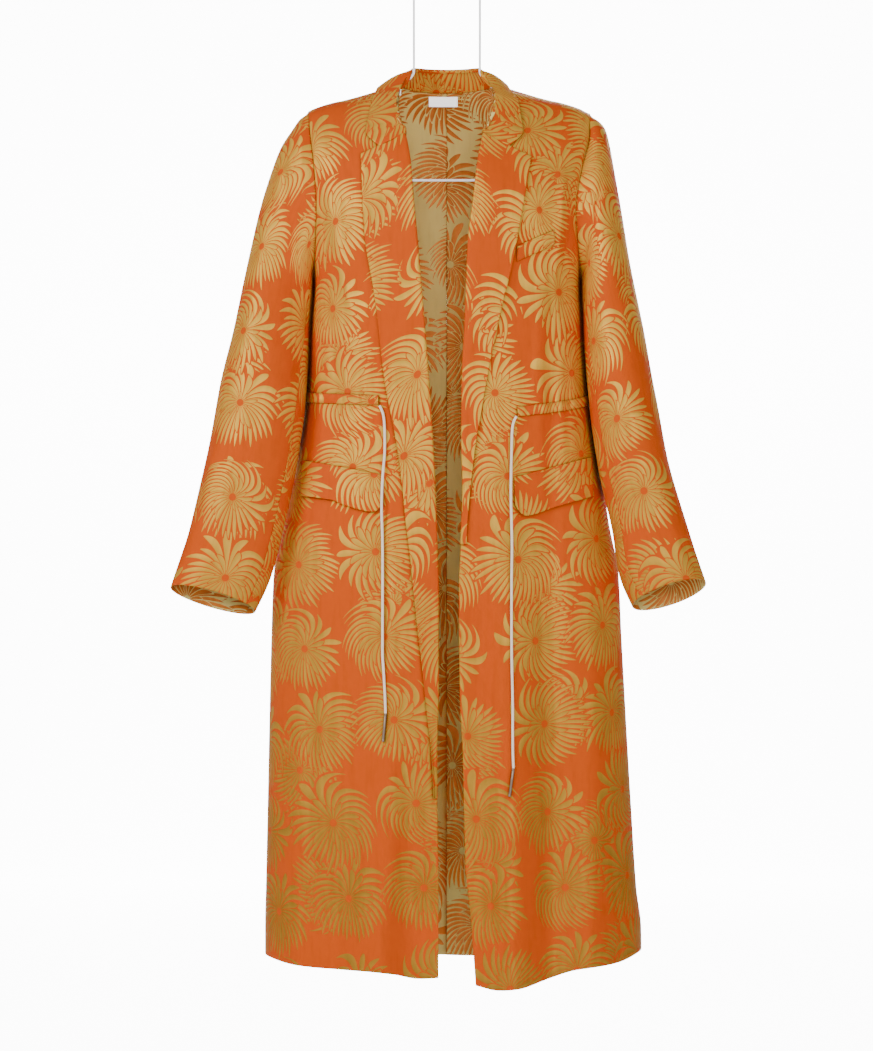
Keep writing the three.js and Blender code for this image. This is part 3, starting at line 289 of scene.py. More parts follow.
FLAP = {
    "right": Table(["x", "top", "bottom"], [
        [81, 522, 560], [87, 520.8, 567], [92, 519.8, 569],
        [125, 513.5, 562], [146, 509.5, 554], [184, 503, 549],
    ]),
    "left": Table(["x", "top", "bottom"], [
        [84.5, 525, 560], [91, 523.4, 570], [98, 521.6, 574],
        [130, 513, 565], [160, 505, 556], [184, 499, 549],
    ]),
}
WELT = Table(["x", "top", "bottom"], [[88, 233, 252.5], [112, 222, 241.5], [136, 211.5, 231]])
# Each cord from its exit to its metal tip, as x, y and drop.
CORD_ROUTE = {
    "right": [
        (-85.3, -94.7, 434.7), (-82.3, -95.5, 438.5), (-80, -96.1, 448), (-78.9, -97.3, 463),
        (-78.7, -98.6, 479), (-78.7, -99.8, 494), (-80, -101.5, 509), (-81.3, -104, 524.5),
        (-82.5, -107.4, 555), (-82.5, -107.4, 575), (-81.8, -106.4, 592), (-81.3, -107.7, 620),
        (-81.3, -109, 646), (-81.3, -110.4, 677), (-81.3, -112.6, 722.6), (-81.3, -113.9, 753),
        (-80, -114.6, 768), (-79.2, -115.2, 783.6), (-78.3, -115.7, 799), (-77.5, -116.4, 822.5),
    ],
    "left": [
        (87.8, -96.3, 448), (84.6, -96.2, 452), (82.4, -96.9, 461), (81.8, -98.2, 475),
        (81.3, -99.9, 495), (80.6, -102.3, 522), (80.4, -104.8, 552), (81.2, -106.9, 583),
        (81.8, -108.6, 613), (81.3, -110.2, 644), (81.1, -112.3, 690), (81.3, -114.7, 750),
        (82.5, -116.6, 811), (82.5, -117.8, 850), (82.7, -118.5, 872), (83.4, -119, 891.3),
    ],
}
AGLET_ENDS = {
    "right": [(-77.5, -116.4, 822.9), (-80.7, -117.7, 858)],
    "left": [(83.3, -119, 891.7), (78.4, -120.8, 927)],
}
# A cord's end as a crimped tube, by share of its length and radius.
TIP_STATIONS = [
    (0, 1.2), (0.004, 1.62), (0.02, 1.72), (0.07, 1.72), (0.085, 1.56), (0.1, 1.72), (0.5, 1.7),
    (0.9, 1.72), (0.915, 1.58), (0.93, 1.74), (0.99, 1.74), (1, 1.66), (1, 1.3), (0.95, 1.25),
]
LABEL_X = (-23, 14)
LABEL_DROP = (31.5, 44.5)
ROD_RADIUS = 1.5
ARM_RADIUS = 3
TOP_BAR_END = 46
CROSSBAR_END = 62.5
CROSSBAR_DROP = 143.5
ARM_BEHIND = 4
ARM_BELOW = 6.3
ARM_START = (58.8, 31.5)
UPRIGHT = [
    (42.3, -93.2), (42.3, -30), (42.3, 0), (42.6, 6), (46, 11.5), (54, 19.5), (60, 27), (63, 34), (64, 42),
    (64, 70), (64, 146.5),
]

# In metres: a stitch's length and thread, and the hem's pitch.
SEAM_STITCH = (0.0021, 0.0002)
HEM_STITCH = (0.0022, 0.0002)
HEM_PITCH = 0.006


def clamp01(value):
    return np.clip(value, 0, 1)


def smooth(value):
    return clamp01(value) ** 2 * (3 - 2 * clamp01(value))


def mix(a, b, share):
    return a + (b - a) * share


def point(x, y, drop):
    """Stacks x, y and the drop below the collar's top into points, in millimetres."""
    x, y, drop = np.broadcast_arrays(np.asarray(x, float), y, drop)
    return np.stack([x, y, -HANG_DROP - drop], axis=-1)


def rounding(share):
    """How far the shoulder has turned into a front or back, from 0 to 1."""
    return (1 - (1 - clamp01(share)) ** 1.6) ** 0.7


def round_share(share):
    """A share of the way round the body, as a share of its width."""
    return np.sin(np.asarray(share) * math.pi / 2) ** (2 / HEM_ROUNDNESS)


def full_depth(side, x, drop):
    """How far the body's round outline lies from its middle plane."""
    across = clamp01(np.abs(x) / BODY.at(side, drop))
    return BODY.at("depth", drop) * (1 - across**HEM_ROUNDNESS) ** (1 / HEM_ROUNDNESS)


def fold_height(folds, side, x, drop):
    """How far the long soft folds stand proud at a place."""
    height = 0
    for values in folds[side]:
        fold = dict(zip(FOLD_NAMES, values))
        along = clamp01((drop - fold["top"]) / (fold["foot"] - fold["top"]))
        centre = mix(fold["x_top"], fold["x_foot"], along)
        grown = np.sin(math.pi * np.minimum(along, 0.9) / 1.8)
        beside = (np.abs(x) - centre) / fold["half_width"]
        height = height + fold["height"] * grown * np.exp(-(beside**2))
    across = clamp01(np.abs(x) / BODY.at(side, drop))
    return height * (1 - across**6)


def casing_centre(side, x):
    casing = CASING[side]
    share = clamp01((np.abs(x) - casing["inner_x"]) / (CASING_SIDE_X - casing["inner_x"]))
    return mix(casing["inner_drop"], casing["side_drop"], share)


def ripples(side, x, drop, is_front):
    """Small soft waves: the gathers above and below the waist casing, and the hang of a thin cloth.

    Each sine divides x or the drop by its own length in millimetres, and its height follows it.
    """
    phase = 1.7 * SIDES[side] + (0 if is_front else 2.3)
    x = np.abs(x)
    across = clamp01(x / BODY.at(side, drop))
    centre = casing_centre(side, x) if is_front else CASING_BACK_DROP + 0 * x
    inner = CASING[side]["inner_x"] if is_front else 0
    within = smooth((x - inner + 12) / 30) if is_front else 1
    reach = np.exp(-np.abs(drop - centre) / (34 + 16 * np.sin(x / 9 + phase)))
    gather = np.sin(x / 4.6 + phase + 1.3 * np.sin(x / 13 + phase)) * reach * within * 1.7
    slow = np.sin(x / 21 + drop / 160 + phase) * np.sin(drop / 95 + phase) * 0.9
    skirt = smooth((drop - 470) / 260)
    long = np.sin(x / 16 - drop / 300 + 1.4 * np.sin(drop / 230 + phase))
    folds = skirt * (2.0 * long + 1.3 * long**3)
    hem = smooth((drop - 900) / 240) * np.sin(x / 17 + 2.2 * phase) * 1.6
    waves = gather + slow + folds + hem
    if is_front:
        for drape in DRAPES[side]:
            waves = waves + drape_height(drape, x, drop)
    return waves * (1 - across**8) * smooth((drop - 60) / 120)


def drape_height(drape, x, drop):
    top, x_top, foot, x_foot, half_width, height = drape
    along = (drop - top) / (foot - top)
    centre = mix(x_top, x_foot, clamp01(along))
    ends = smooth(along * 3 + 0.5) * smooth((1 - along) * 3 + 0.5)
    return height * ends * np.exp(-(((x - centre) / half_width) ** 2))


def shoulder_seam(x):
    """y and drop of the seam over the shoulder."""
    forward = smooth((np.abs(x) - NECK_HALF_WIDTH) / 25)
    return -SEAM_FORWARD * forward, RIDGE.at("drop", np.abs(x)) + 1.5 + 4 * forward


def back_top(x):
    """y and drop of the back's top line, just behind the shoulder's ridge."""
    in_neck = np.sqrt(1 - clamp01(np.abs(x) / NECK_HALF_WIDTH) ** 2)
    drop = RIDGE.at("drop", np.maximum(NECK_HALF_WIDTH, np.abs(x))) + 12.5 * in_neck
    return RIDGE_BACK + NECK_BACK_DEPTH * in_neck, drop


def front_y(side, x, drop):
    top_y, top_drop = shoulder_seam(x)
    turned = rounding((drop - top_drop) / SHOULDER_HEIGHT)
    flat = mix(top_y, -full_depth(side, x, drop), turned)
    return flat - fold_height(FRONT_FOLDS, side, x, drop) - ripples(side, x, drop, True)


def back_y(side, x, drop):
    top_y, top_drop = back_top(x)
    turned = rounding((drop - top_drop) / SHOULDER_HEIGHT)
    flat = mix(top_y, full_depth(side, x, drop), turned)
    return flat + fold_height(BACK_FOLDS, side, x, drop) + ripples(side, x, drop, False)


FRONT_YOKE = [20, 32, 45, 58, 73, 89, 120, 165, 210, 250, 285]
BACK_YOKE = [27, 31, 45, 70, 100, 135, 170, 205, 245, 285]
YOKE_STEPS = np.concatenate([np.linspace(0, 1, 7)[:-1], np.linspace(1, 3, 11)[:-1], np.linspace(3, 9, 44)])
SKIRT_STEPS = np.linspace(0, 1, 176)[1:]


def armhole_drop(top, share):
    return mix(top, UNDERARM_DROP, (1 - np.cos(np.clip(share, 0, 1) * math.pi)) / 2)


def front_point(side, share, down):
    """A place of a front below the underarm."""
    across = round_share(share)
    start = mix(YOKE_END, UNDERARM_DROP, across)
    drop = mix(start, FRONT_HEM.at(side, across), down)
    x = mix(FRONT_EDGE.at(side, drop), BODY.at(side, drop), across)
    return x, drop


def front_grid(side, shares):
    """A front's points in rows from the shoulder to the hem, each from the front edge to the side seam."""
    tip = float(ARMHOLE.at(side, 0))
    s = shares[None, :]
    t = (YOKE_STEPS * FRONT_ROWS / BACK_ROWS)[:, None]
    inner_drop = np.interp(t, range(len(FRONT_YOKE)), FRONT_YOKE)
    tip_drop = float(shoulder_seam(tip)[1])
    outer_drop = armhole_drop(tip_drop, t / FRONT_ROWS)
    across = mix(s, round_share(s), smooth(t / 4))
    x = mix(FRONT_EDGE.at(side, inner_drop), ARMHOLE.at(side, outer_drop), across)
    level = mix(NECK_SIDE_DROP, tip_drop, across)
    drop = mix(inner_drop, outer_drop, across) + (1 - smooth(t / 1.5)) * (shoulder_seam(x)[1] - level)
    yoke = point(SIDES[side] * x, front_y(side, x, drop), drop)
    x, drop = front_point(side, s, SKIRT_STEPS[:, None])
    skirt = point(SIDES[side] * x, front_y(side, x, drop), drop)
    return np.concatenate([yoke, skirt])


def back_edge(side, t):
    """The armhole's edge of a back, by its row counted from the shoulder seam."""
    tip = float(ARMHOLE.at(side, 0))
    outer_drop = armhole_drop(float(RIDGE.at("drop", tip)), (t - 1) / (BACK_ROWS - 1))
    x = ARMHOLE.at(side, outer_drop)
    low = point(SIDES[side] * x, back_y(side, x, outer_drop), outer_drop)
    seam = point(SIDES[side] * tip, *shoulder_seam(tip))
    ridge = point(SIDES[side] * tip, *back_top(tip))
    t = np.asarray(t)[..., None]
    high = mix(seam, ridge, clamp01(t))
    return mix(high, low, smooth(t - 1))


def back_grid(side, shares):
    """A back's points in rows from the shoulder to the hem, each from the centre seam to the side seam."""
    sign = SIDES[side]
    tip = float(ARMHOLE.at(side, 0))
    j = (shares * BACK_ROWS)[None, :]
    t = YOKE_STEPS[:, None]
    turn = np.minimum(1, j / 4) * math.pi / 2
    seam_x = NECK_HALF_WIDTH * np.sin(turn) + (tip - NECK_HALF_WIDTH) * np.maximum(0, (j - 4) / 5)
    in_neck = np.sqrt(1 - clamp01(seam_x / NECK_HALF_WIDTH) ** 2)
    seam_y, seam_drop = shoulder_seam(seam_x)
    is_neck = seam_x < NECK_HALF_WIDTH
    first = point(sign * seam_x, np.where(is_neck, NECK_BACK_DEPTH * in_neck, seam_y),
                  np.where(is_neck, NECK_SIDE_DROP + NECK_BACK_FALL * in_neck, seam_drop))
    top_y, top_drop = back_top(seam_x)
    second = point(sign * seam_x, top_y, top_drop)
    across = round_share(shares)[None, :]
    inner_drop = np.interp(t, range(len(BACK_YOKE)), BACK_YOKE)
    outer_drop = armhole_drop(float(RIDGE.at("drop", tip)), (t - 1) / (BACK_ROWS - 1))
    eased = smooth(t / BACK_ROWS)
    edge = ARMHOLE.at(side, outer_drop)
    x = mix(seam_x, edge * across, eased) + (edge - mix(tip, edge, eased)) * clamp01(j - 8)
    line = mix(inner_drop, outer_drop, mix(seam_x / tip, across, eased))
    drop = np.maximum(line, top_drop + (t - 1) * 4)
    low = point(sign * x, back_y(side, x, drop), drop)
    row = t[..., None]
    yoke = mix(mix(first, second, clamp01(row)), low, smooth(row - 1))
    start = mix(YOKE_END, UNDERARM_DROP, across)
    drop = mix(start, BACK_HEM.at(side, across), SKIRT_STEPS[:, None])
    x = BODY.at(side, drop) * across
    skirt = point(sign * x, back_y(side, x, drop), drop)
    return relaxed(np.concatenate([yoke, skirt]), 6)


def relaxed(grid, passes):
    """The same points evened out along their columns, with both ends kept."""
    grid = grid.copy()
    for _ in range(passes):
        grid[1:-1] = 0.25 * grid[:-2] + 0.5 * grid[1:-1] + 0.25 * grid[2:]
    return grid


def unit(vectors):
    return vectors / np.maximum(np.linalg.norm(vectors, axis=-1, keepdims=True), 1e-9)


def grid_normals(grid):
    return unit(np.cross(np.gradient(grid, axis=0), np.gradient(grid, axis=1)))


def facing_sign(grid, away):
    """1 where the grid's own normals mostly point the given way, and -1 where they point against it."""
    return 1 if np.sum(grid_normals(grid) * away) > 0 else -1


def row_lengths(grid, axis):
    """How far each point lies from the first one, along the given axis of the grid."""
    steps = np.linalg.norm(np.diff(grid, axis=axis), axis=-1)
    start = np.zeros_like(np.take(steps, [0], axis=axis))
    return np.concatenate([start, np.cumsum(steps, axis=axis)], axis=axis)


def cloth_uv(along, down, shift):
    """Cloth coordinates in metres, from millimetres along the weft and down the warp."""
    u, v = np.broadcast_arrays(along * MM + shift[0], -down * MM + shift[1])
    return np.stack([u, v], axis=-1)


def panel_uv(grid, anchor_row, offset):
    """Cloth coordinates of a front or back, from the middle and from one row."""
    u = np.abs(grid[:, :1, 0]) + row_lengths(grid, 1)
    down = row_lengths(grid, 0)
    v = down - down[anchor_row] - grid[anchor_row, :, 2]
    return cloth_uv(np.sign(grid[0, -1, 0]) * u, v, offset)


def with_edges(grid, uv):
    """Adds a line of points just inside each edge, so that the edge can turn."""
    for axis in (0, 1):
        for _ in range(2):
            grid, uv = np.flip(grid, axis), np.flip(uv, axis)
            first, second = np.take(grid, 0, axis), np.take(grid, 1, axis)
            gap = np.linalg.norm(second - first, axis=-1, keepdims=True)
            share = np.clip(EDGE_TURN / np.maximum(gap, 1e-6), 0, 0.5)
            extra = np.expand_dims(mix(first, second, share), axis)
            extra_uv = np.expand_dims(mix(np.take(uv, 0, axis), np.take(uv, 1, axis), share), axis)
            grid = np.concatenate([np.take(grid, [0], axis), extra, np.delete(grid, 0, axis)], axis)
            uv = np.concatenate([np.take(uv, [0], axis), extra_uv, np.delete(uv, 0, axis)], axis)
    return grid, uv


def grid_faces(rows, columns, start, flip):
    i, j = np.meshgrid(np.arange(rows - 1), np.arange(columns - 1), indexing="ij")
    a = (start + i * columns + j).ravel()
    quads = np.stack([a, a + columns, a + columns + 1, a + 1], axis=1)
    return quads[:, ::-1] if flip else quads


def shell(name, grid, away, uv, materials, thickness=CLOTH):
    """A closed thin wall of cloth, with its face outside, its reverse inside and a turned edge."""
    sign = facing_sign(grid, away)
    grid, uv = with_edges(grid, uv)
    normals = sign * grid_normals(grid)
    rows, columns = grid.shape[:2]
    edge = np.zeros((rows, columns, 1))
    edge[[0, -1]] = 1
    edge[:, [0, -1]] = 1
    tuck = TUCK_SHARE * thickness * edge
    outer = grid - normals * tuck
    inner = grid - normals * (thickness - tuck)
    verts = np.concatenate([outer.reshape(-1, 3), inner.reshape(-1, 3)]) * MM
    count = rows * columns
    face_quads = grid_faces(rows, columns, 0, sign < 0)
    back_quads = grid_faces(rows, columns, count, sign > 0)
    ring = np.concatenate([
        np.arange(columns - 1), columns - 1 + columns * np.arange(rows - 1),
        count - 1 - np.arange(columns - 1), columns * (rows - 1) - columns * np.arange(rows - 1),
    ])
    following = np.roll(ring, -1)
    rim = np.stack([ring, following, following + count, ring + count], axis=1)
    rim = rim[:, ::-1] if sign < 0 else rim
    faces = np.concatenate([face_quads, back_quads, rim])
    mesh = bpy.data.meshes.new(name)
    mesh.from_pydata(verts.tolist(), [], faces.tolist())
    slots = np.zeros(len(faces), int)
    slots[len(face_quads):len(face_quads) + len(back_quads)] = 1
    mesh.polygons.foreach_set("material_index", slots)
    for material in materials:
        mesh.materials.append(material)
    flat_uv = np.concatenate([uv.reshape(-1, 2)] * 2)
    loops = np.zeros(len(mesh.loops), int)
    mesh.loops.foreach_get("vertex_index", loops)
    mesh.uv_layers.new(name="cloth").data.foreach_set("uv", flat_uv[loops].ravel())
    return place_piece(name, mesh)


def place_piece(name, mesh):
    """The mesh as a smooth object at the origin."""
    mesh.polygons.foreach_set("use_smooth", [True] * len(mesh.polygons))
    mesh.validate()
    mesh.update()
    piece = bpy.data.objects.new(name, mesh)
    bpy.context.scene.collection.objects.link(piece)
    return piece


def hang(piece, node):
    """Hangs the piece from the root and hides the solid that it stands for."""
    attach(piece, "root")
    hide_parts(node)


def maths_method(operation, reflected=False):
    """One operator of Number. A reflected one has the number on its right."""

    def method(self, other):
        pair = (other, self) if reflected else (self, other)
        return self.shader.add("ShaderNodeMath", {"operation": operation}, *pair)

    return method


class Number:
    """A number from a shader socket, for maths written as plain expressions."""

    def __init__(self, shader, socket):
        self.shader = shader
        self.socket = socket

    def maths(self, operation, *others):
        return self.shader.add("ShaderNodeMath", {"operation": operation}, self, *others)

    def clamped(self):
        return self.maths("MAXIMUM", 0).maths("MINIMUM", 1)

    __add__ = __radd__ = maths_method("ADD")
    __sub__ = maths_method("SUBTRACT")
    __rsub__ = maths_method("SUBTRACT", reflected=True)
    __mul__ = __rmul__ = maths_method("MULTIPLY")
    __truediv__ = maths_method("DIVIDE")
    __pow__ = maths_method("POWER")
    __lt__ = maths_method("LESS_THAN")


class Shader:
    """A material's node tree, with one method that adds any node."""

    def __init__(self, name):
        self.material = bpy.data.materials.new(name)
        self.material.use_nodes = True
        self.tree = self.material.node_tree
        self.tree.nodes.clear()

    def add(self, kind, settings, *values, out=0, **named):
        node = self.tree.nodes.new(kind)
        for key, value in settings.items():
            setattr(node, key, value)
        pairs = list(zip(node.inputs, values))
        pairs += [(node.inputs[key.replace("_", " ")], value) for key, value in named.items()]
        for socket, value in pairs:
            self.feed(socket, value)
        return Number(self, node.outputs[out])

    def feed(self, socket, value):
        if value is None:
            return
        if isinstance(value, Number):
            self.tree.links.new(value.socket, socket)
        else:
            socket.default_value = value

    def surface(self, constants, **links):
        """Ends the material in one Principled shader."""
        node = self.tree.nodes.new("ShaderNodeBsdfPrincipled")
        for name, value in constants.items():
            node.inputs[name].default_value = value
        for name, value in links.items():
            self.feed(node.inputs[name.replace("_", " ")], value)
        end = self.tree.nodes.new("ShaderNodeOutputMaterial")
        self.tree.links.new(node.outputs[0], end.inputs[0])
        return self.material

    def split(self, vector):
        node = self.add("ShaderNodeSeparateXYZ", {}, vector).socket.node
        return [Number(self, socket) for socket in node.outputs]

    def vector(self, x, y, z):
        return self.add("ShaderNodeCombineXYZ", {}, x, y, z)

    def place(self):
        """Where the surface is, in metres."""
        return self.add("ShaderNodeTexCoord", {}, out=3)

    def cloth(self):
        """The piece's own coordinates: along its weft and up its warp, or round and along a cord."""
        return self.split(self.add("ShaderNodeUVMap", {"uv_map": "cloth"}))[:2]

    def noise(self, where, scale, detail, dimensions="3D"):
        return self.add("ShaderNodeTexNoise", {"noise_dimensions": dimensions}, where, None, scale, detail)

    def chance(self, x, y, z, out=0):
        """A number from 0 to 1, or with out=1 three of them, that only x, y and z decide."""
        settings = {"noise_dimensions": "3D"}
        return self.add("ShaderNodeTexWhiteNoise", settings, self.vector(x, y, z), out=out)

    def bump(self, height, strength, distance):
        return self.add("ShaderNodeBump", {}, Height=height, Strength=strength, Distance=distance)

    def dimmed(self, share, colour):
        """A colour at a share of its strength."""
        return self.mixed(share, BLACK, (*colour[:3], 1))

    def mixed(self, share, first, second):
        """A colour between two colours."""
        node = self.tree.nodes.new("ShaderNodeMix")
        node.data_type = "RGBA"
        for index, value in ((0, share), (6, first), (7, second)):
            self.feed(node.inputs[index], value)
        return Number(self, node.outputs[2])


# A ring of petals: how many, the shares of the blossom's reach that they take, and how their gaps widen.
INNER_RING = (20, 0.12, 0.66, 2.4)
OUTER_RING = (29, 0.78, 1.0, 3.8)
# A petal: the gap beside its foot in millimetres, its hook, its taper, and what its outline hides.
FOOT_GAP = 0.7
HOOK = 1.6
TAPER = 0.25
OUTLINE = 0.12
EYE_RADIUS_MM = 4.6
# Layers of blossoms, the nearest first: pitch, lean and shift of the rows, seed, and a blossom's reach.
LAYERS = [(0.152, 0.62, 0, 3.1, 0.064), (0.152, 0.62, 0.5, 8.7, 0.063), (0.168, 1.3, 0.2, 14.2, 0.060)]


def petals(s, turn, rho, reach_mm, seed, ring):
    """One ring of curved petals with hooked tips, what they and their outline hide, and their painted light
    and shade.
    """
    count, shortest, longest, gap = ring
    steps = turn * (count / (2 * math.pi))
    index = steps.maths("FLOOR")
    local = steps - index - 0.5
    wrapped = index.maths("FLOORED_MODULO", count)
    length = s.chance(wrapped, seed, 0.37 * count) * (longest - shortest) + shortest
    along = rho / length
    gap_mm = FOOT_GAP + gap * rho * rho
    room = 0.5 - gap_mm * (count / (4 * math.pi)) / (rho * reach_mm).maths("MAXIMUM", 0.5)
    hook = (along ** 5.5) * HOOK * room
    petal = ((hook - room) < local) * (local < room * (1 - (along ** 9.0) * TAPER)) * (along < 1)
    cover = ((hook - room - OUTLINE) < local) * (rho < length + 0.03)
    # Painted light and shade: each petal is lighter on one side and darker on the other, as if lit across
    # its relief, and lighter towards its tip.
    shading = petal * (local / room.maths("MAXIMUM", 0.05) * -0.55 + (rho - 0.55) * 0.9)
    return petal, cover, shading


def blossoms(s, x, y, pitch, lean, shift, seed, reach):
    """One layer of scattered blossoms, each with two rings of drooping petals round an open eye."""
    cos, sin = math.cos(lean), math.sin(lean)
    across, up = x * cos - y * sin, x * sin + y * cos
    across, up = across / pitch + shift, up / pitch + shift
    cell_x, cell_y = across.maths("FLOOR"), up.maths("FLOOR")
    chance_x, chance_y, chance = s.split(s.chance(cell_x, cell_y, seed, out=1))
    spare = 1 - 2.16 * reach / pitch
    dx = (across - (cell_x + 0.5 + (chance_x - 0.5) * spare)) * pitch
    dy = (up - (cell_y + 0.5 + (chance_y - 0.5) * spare)) * pitch
    size = chance * 0.16 + 0.9
    rho = (dx * dx + dy * dy).maths("SQRT") / (size * reach)
    turn = dy.maths("ARCTAN2", dx)
    lean_to = chance_x * 2.4 + chance_y * 1.6 - 1.2
    bend = (rho ** 1.7) * (turn - lean_to).maths("COSINE") * 0.9
    turn = turn + bend + rho * rho * (chance - 0.5) * 1.4 + chance_y * 6
    seed_value = chance * 37 + chance_x * 11
    reach_mm = size * (reach / MM)
    inner, inner_cover, inner_shading = petals(s, turn + 0.07, rho, reach_mm, seed_value, INNER_RING)
    outer, outer_cover, outer_shading = petals(s, turn, rho, reach_mm, seed_value + 5.3, OUTER_RING)
    open_eye = 1 - (rho * reach_mm < EYE_RADIUS_MM)
    behind = (1 - inner_cover) * (1 - inner)
    gold = (inner + behind * outer) * open_eye
    shading = (inner_shading + behind * outer_shading) * open_eye
    cover = inner_cover.maths("MAXIMUM", outer_cover).maths("MAXIMUM", rho < 0.76)
    return gold, cover, shading


def flower_mask(s, x, y):
    """Gold where the blossoms are, and the painted light and shade on their petals."""
    layers = [blossoms(s, x, y, *layer) for layer in LAYERS]
    gold, _, shading = layers[-1]
    for over, over_cover, over_shading in reversed(layers[:-1]):
        behind = (1 - over_cover) * (1 - over)
        gold = over + behind * gold
        shading = over_shading + behind * shading
    return gold, shading


def wave(u, u_length, v, v_length):
    """A sine that repeats at the given lengths along u and v."""
    return (u * (2 * math.pi / u_length) + v * (2 * math.pi / v_length)).maths("SINE")


def scaled(colour, share):
    """A colour with its parts scaled, by one share or by one for each."""
    return [float(part) for part in np.array(colour[:3]) * share] + [1]


# Painted sheen: the colours darken from 0.47 m to 1.09 m below the hanging point, a painted shade towards
# the hem.
PAINTED_SHEEN_FADE_RATE = 1.6
PAINTED_SHEEN_FADE_START = 0.75
# How the shade under other cloth looks, and between which shares of open sky it fades in.
UNDER_CLOTH = (0.09, 0.02, 0.0, 1)
UNDER_CLOTH_STRENGTH = 0.8
SHADE_FULL = 0.35
SHADE_SPAN = 0.6
# Lengths of the weave's waves along the weft and the warp, in metres, on the ground and on the flowers.
GROUND_WEAVE = (0.0011, 0.0016)
FLOWER_WEAVE = (0.0014, -0.0009)
SATIN_GLOSS = {"IOR": 1.15, "Specular Tint": (1.0, 0.78, 0.5, 1.0)}


def satin(name, ground, flower, painted_hem_shade_ground, painted_hem_shade_flower, reach):
    """Satin jacquard: coloured ground, flowers a shade glossier, floats of thread along the warp.

    Painted sheen: both colours darken towards the hem, a painted shade where the cloth hangs straight.
    What has other cloth within reach, in metres, lies in its shade.
    """
    s = Shader(name)
    x, y = s.cloth()
    gold, shading = flower_mask(s, x, y)
    # Painted shade: low grows from 0 to 1 down the coat and darkens both colours towards the hem.
    low = (s.split(s.place())[2] * -PAINTED_SHEEN_FADE_RATE - PAINTED_SHEEN_FADE_START).clamped()
    slub = s.noise(s.vector(x * 9, y * 1.4, 0), 14.0, 3.0, "2D")
    shade = slub * 0.3 + 0.85
    plain = s.mixed(low, s.dimmed(shade, ground), s.dimmed(shade, scaled(ground, painted_hem_shade_ground)))
    # The flowers' colour carries the painted light and shade of the petals.
    raised = shading * 0.2 + 0.8 * shade
    bright = s.mixed(low, s.dimmed(raised, flower), s.dimmed(raised, scaled(flower, painted_hem_shade_flower)))
    colour = s.mixed(gold, plain, bright)
    sky = s.add("ShaderNodeAmbientOcclusion", {"samples": 8}, None, reach, out=1)
    light = (sky - SHADE_FULL).maths("MAXIMUM", 0) / SHADE_SPAN
    colour = s.mixed(light, s.mixed(UNDER_CLOTH_STRENGTH, colour, UNDER_CLOTH), colour)
    crumple = s.noise(s.vector(x * 5, y * 3, 0), 6.0, 4.0, "2D")
    ground_weave = wave(x, GROUND_WEAVE[0], y, GROUND_WEAVE[1])
    flower_weave = wave(x, FLOWER_WEAVE[0], y, FLOWER_WEAVE[1])
    weave = ground_weave * (1 - gold) + flower_weave * gold
    bump = s.bump(gold * 0.7 + weave * 0.12 + crumple * 4.5, 0.55, 0.0004)
    roughness = 0.44 - gold * 0.1 + slub * 0.08
    return s.surface(SATIN_GLOSS, Base_Color=colour, Roughness=roughness, Metallic=gold * 0.28, Normal=bump)


STRANDS = 8
STRAND_PITCH = 0.0036


def cord_material(colour):
    """Pale braid: two sets of strands crossing round the cord, with painted shade between the strands and a
    painted glow.
    """
    s = Shader("cord_braid")
    u, v = s.cloth()
    strands = wave(u, 1 / STRANDS, v, STRAND_PITCH).maths("MAXIMUM", wave(u, 1 / STRANDS, v, -STRAND_PITCH))
    # Painted shade: the braid darkens where the strands dip, in the grooves between them.
    braid_colour_with_painted_shade = s.mixed(strands * 0.5 + 0.5, scaled(colour, 0.72), colour)
    # Painted glow: the cord gives off a faint warm light of its own.
    settings_with_painted_glow = {"Sheen Weight": 0.3, "Emission Color": (1.0, 0.84, 0.66, 1.0), "Emission Strength": 0.5}
    bump = s.bump(strands, 0.7, 0.0004)
    return s.surface(settings_with_painted_glow, Base_Color=braid_colour_with_painted_shade, Roughness=0.82 - strands * 0.06, Normal=bump)


RIB_PITCH = 0.0007


def label_material(colour):
    """White label satin with a fine weft rib, and a painted glow that keeps it white."""
    s = Shader("label_satin")
    u, v = s.cloth()
    rib = (v * (2 * math.pi / RIB_PITCH)).maths("SINE")
    shade = s.mixed(rib * 0.5 + 0.5, scaled(colour, 0.93), colour)
    cloud = s.noise(s.vector(u, v, 0), 160.0, 2.0, "2D")
    # Painted glow: the label gives off light of its own.
    settings_with_painted_glow = {"Emission Color": (1.0, 0.98, 0.96, 1.0), "Emission Strength": 1.2}
    bump = s.bump(rib * 0.3 + cloud, 0.4, 0.0003)
    return s.surface(settings_with_painted_glow, Base_Color=shade, Roughness=0.5 + cloud * 0.15, Normal=bump)


def worn_material_with_painted_glow(name, colour, metallic, roughness, scale, depth, glow=0.0):
    """Paint or metal with a slightly uneven surface, and a painted glow of the given strength."""
    s = Shader(name)
    cloud = s.noise(s.place(), scale, 4.0)
    shade = s.mixed(cloud, scaled(colour, 0.85), colour)
    # Painted glow: glow sets how much light the surface gives off of its own.
    settings_with_painted_glow = {"Metallic": metallic, "Emission Color": WHITE, "Emission Strength": glow}
    bump = s.bump(cloud, 0.3, depth)
    return s.surface(settings_with_painted_glow, Base_Color=shade, Roughness=cloud * 0.16 + roughness, Normal=bump)


def thread_material(colour):
    """Sewing thread with a fine twist."""
    s = Shader("sewing_thread")
    grain = s.noise(s.place(), 900.0, 2.0)
    shade = s.mixed(grain, scaled(colour, 0.75), colour)
    return s.surface({}, Base_Color=shade, Roughness=grain * 0.2 + 0.45)


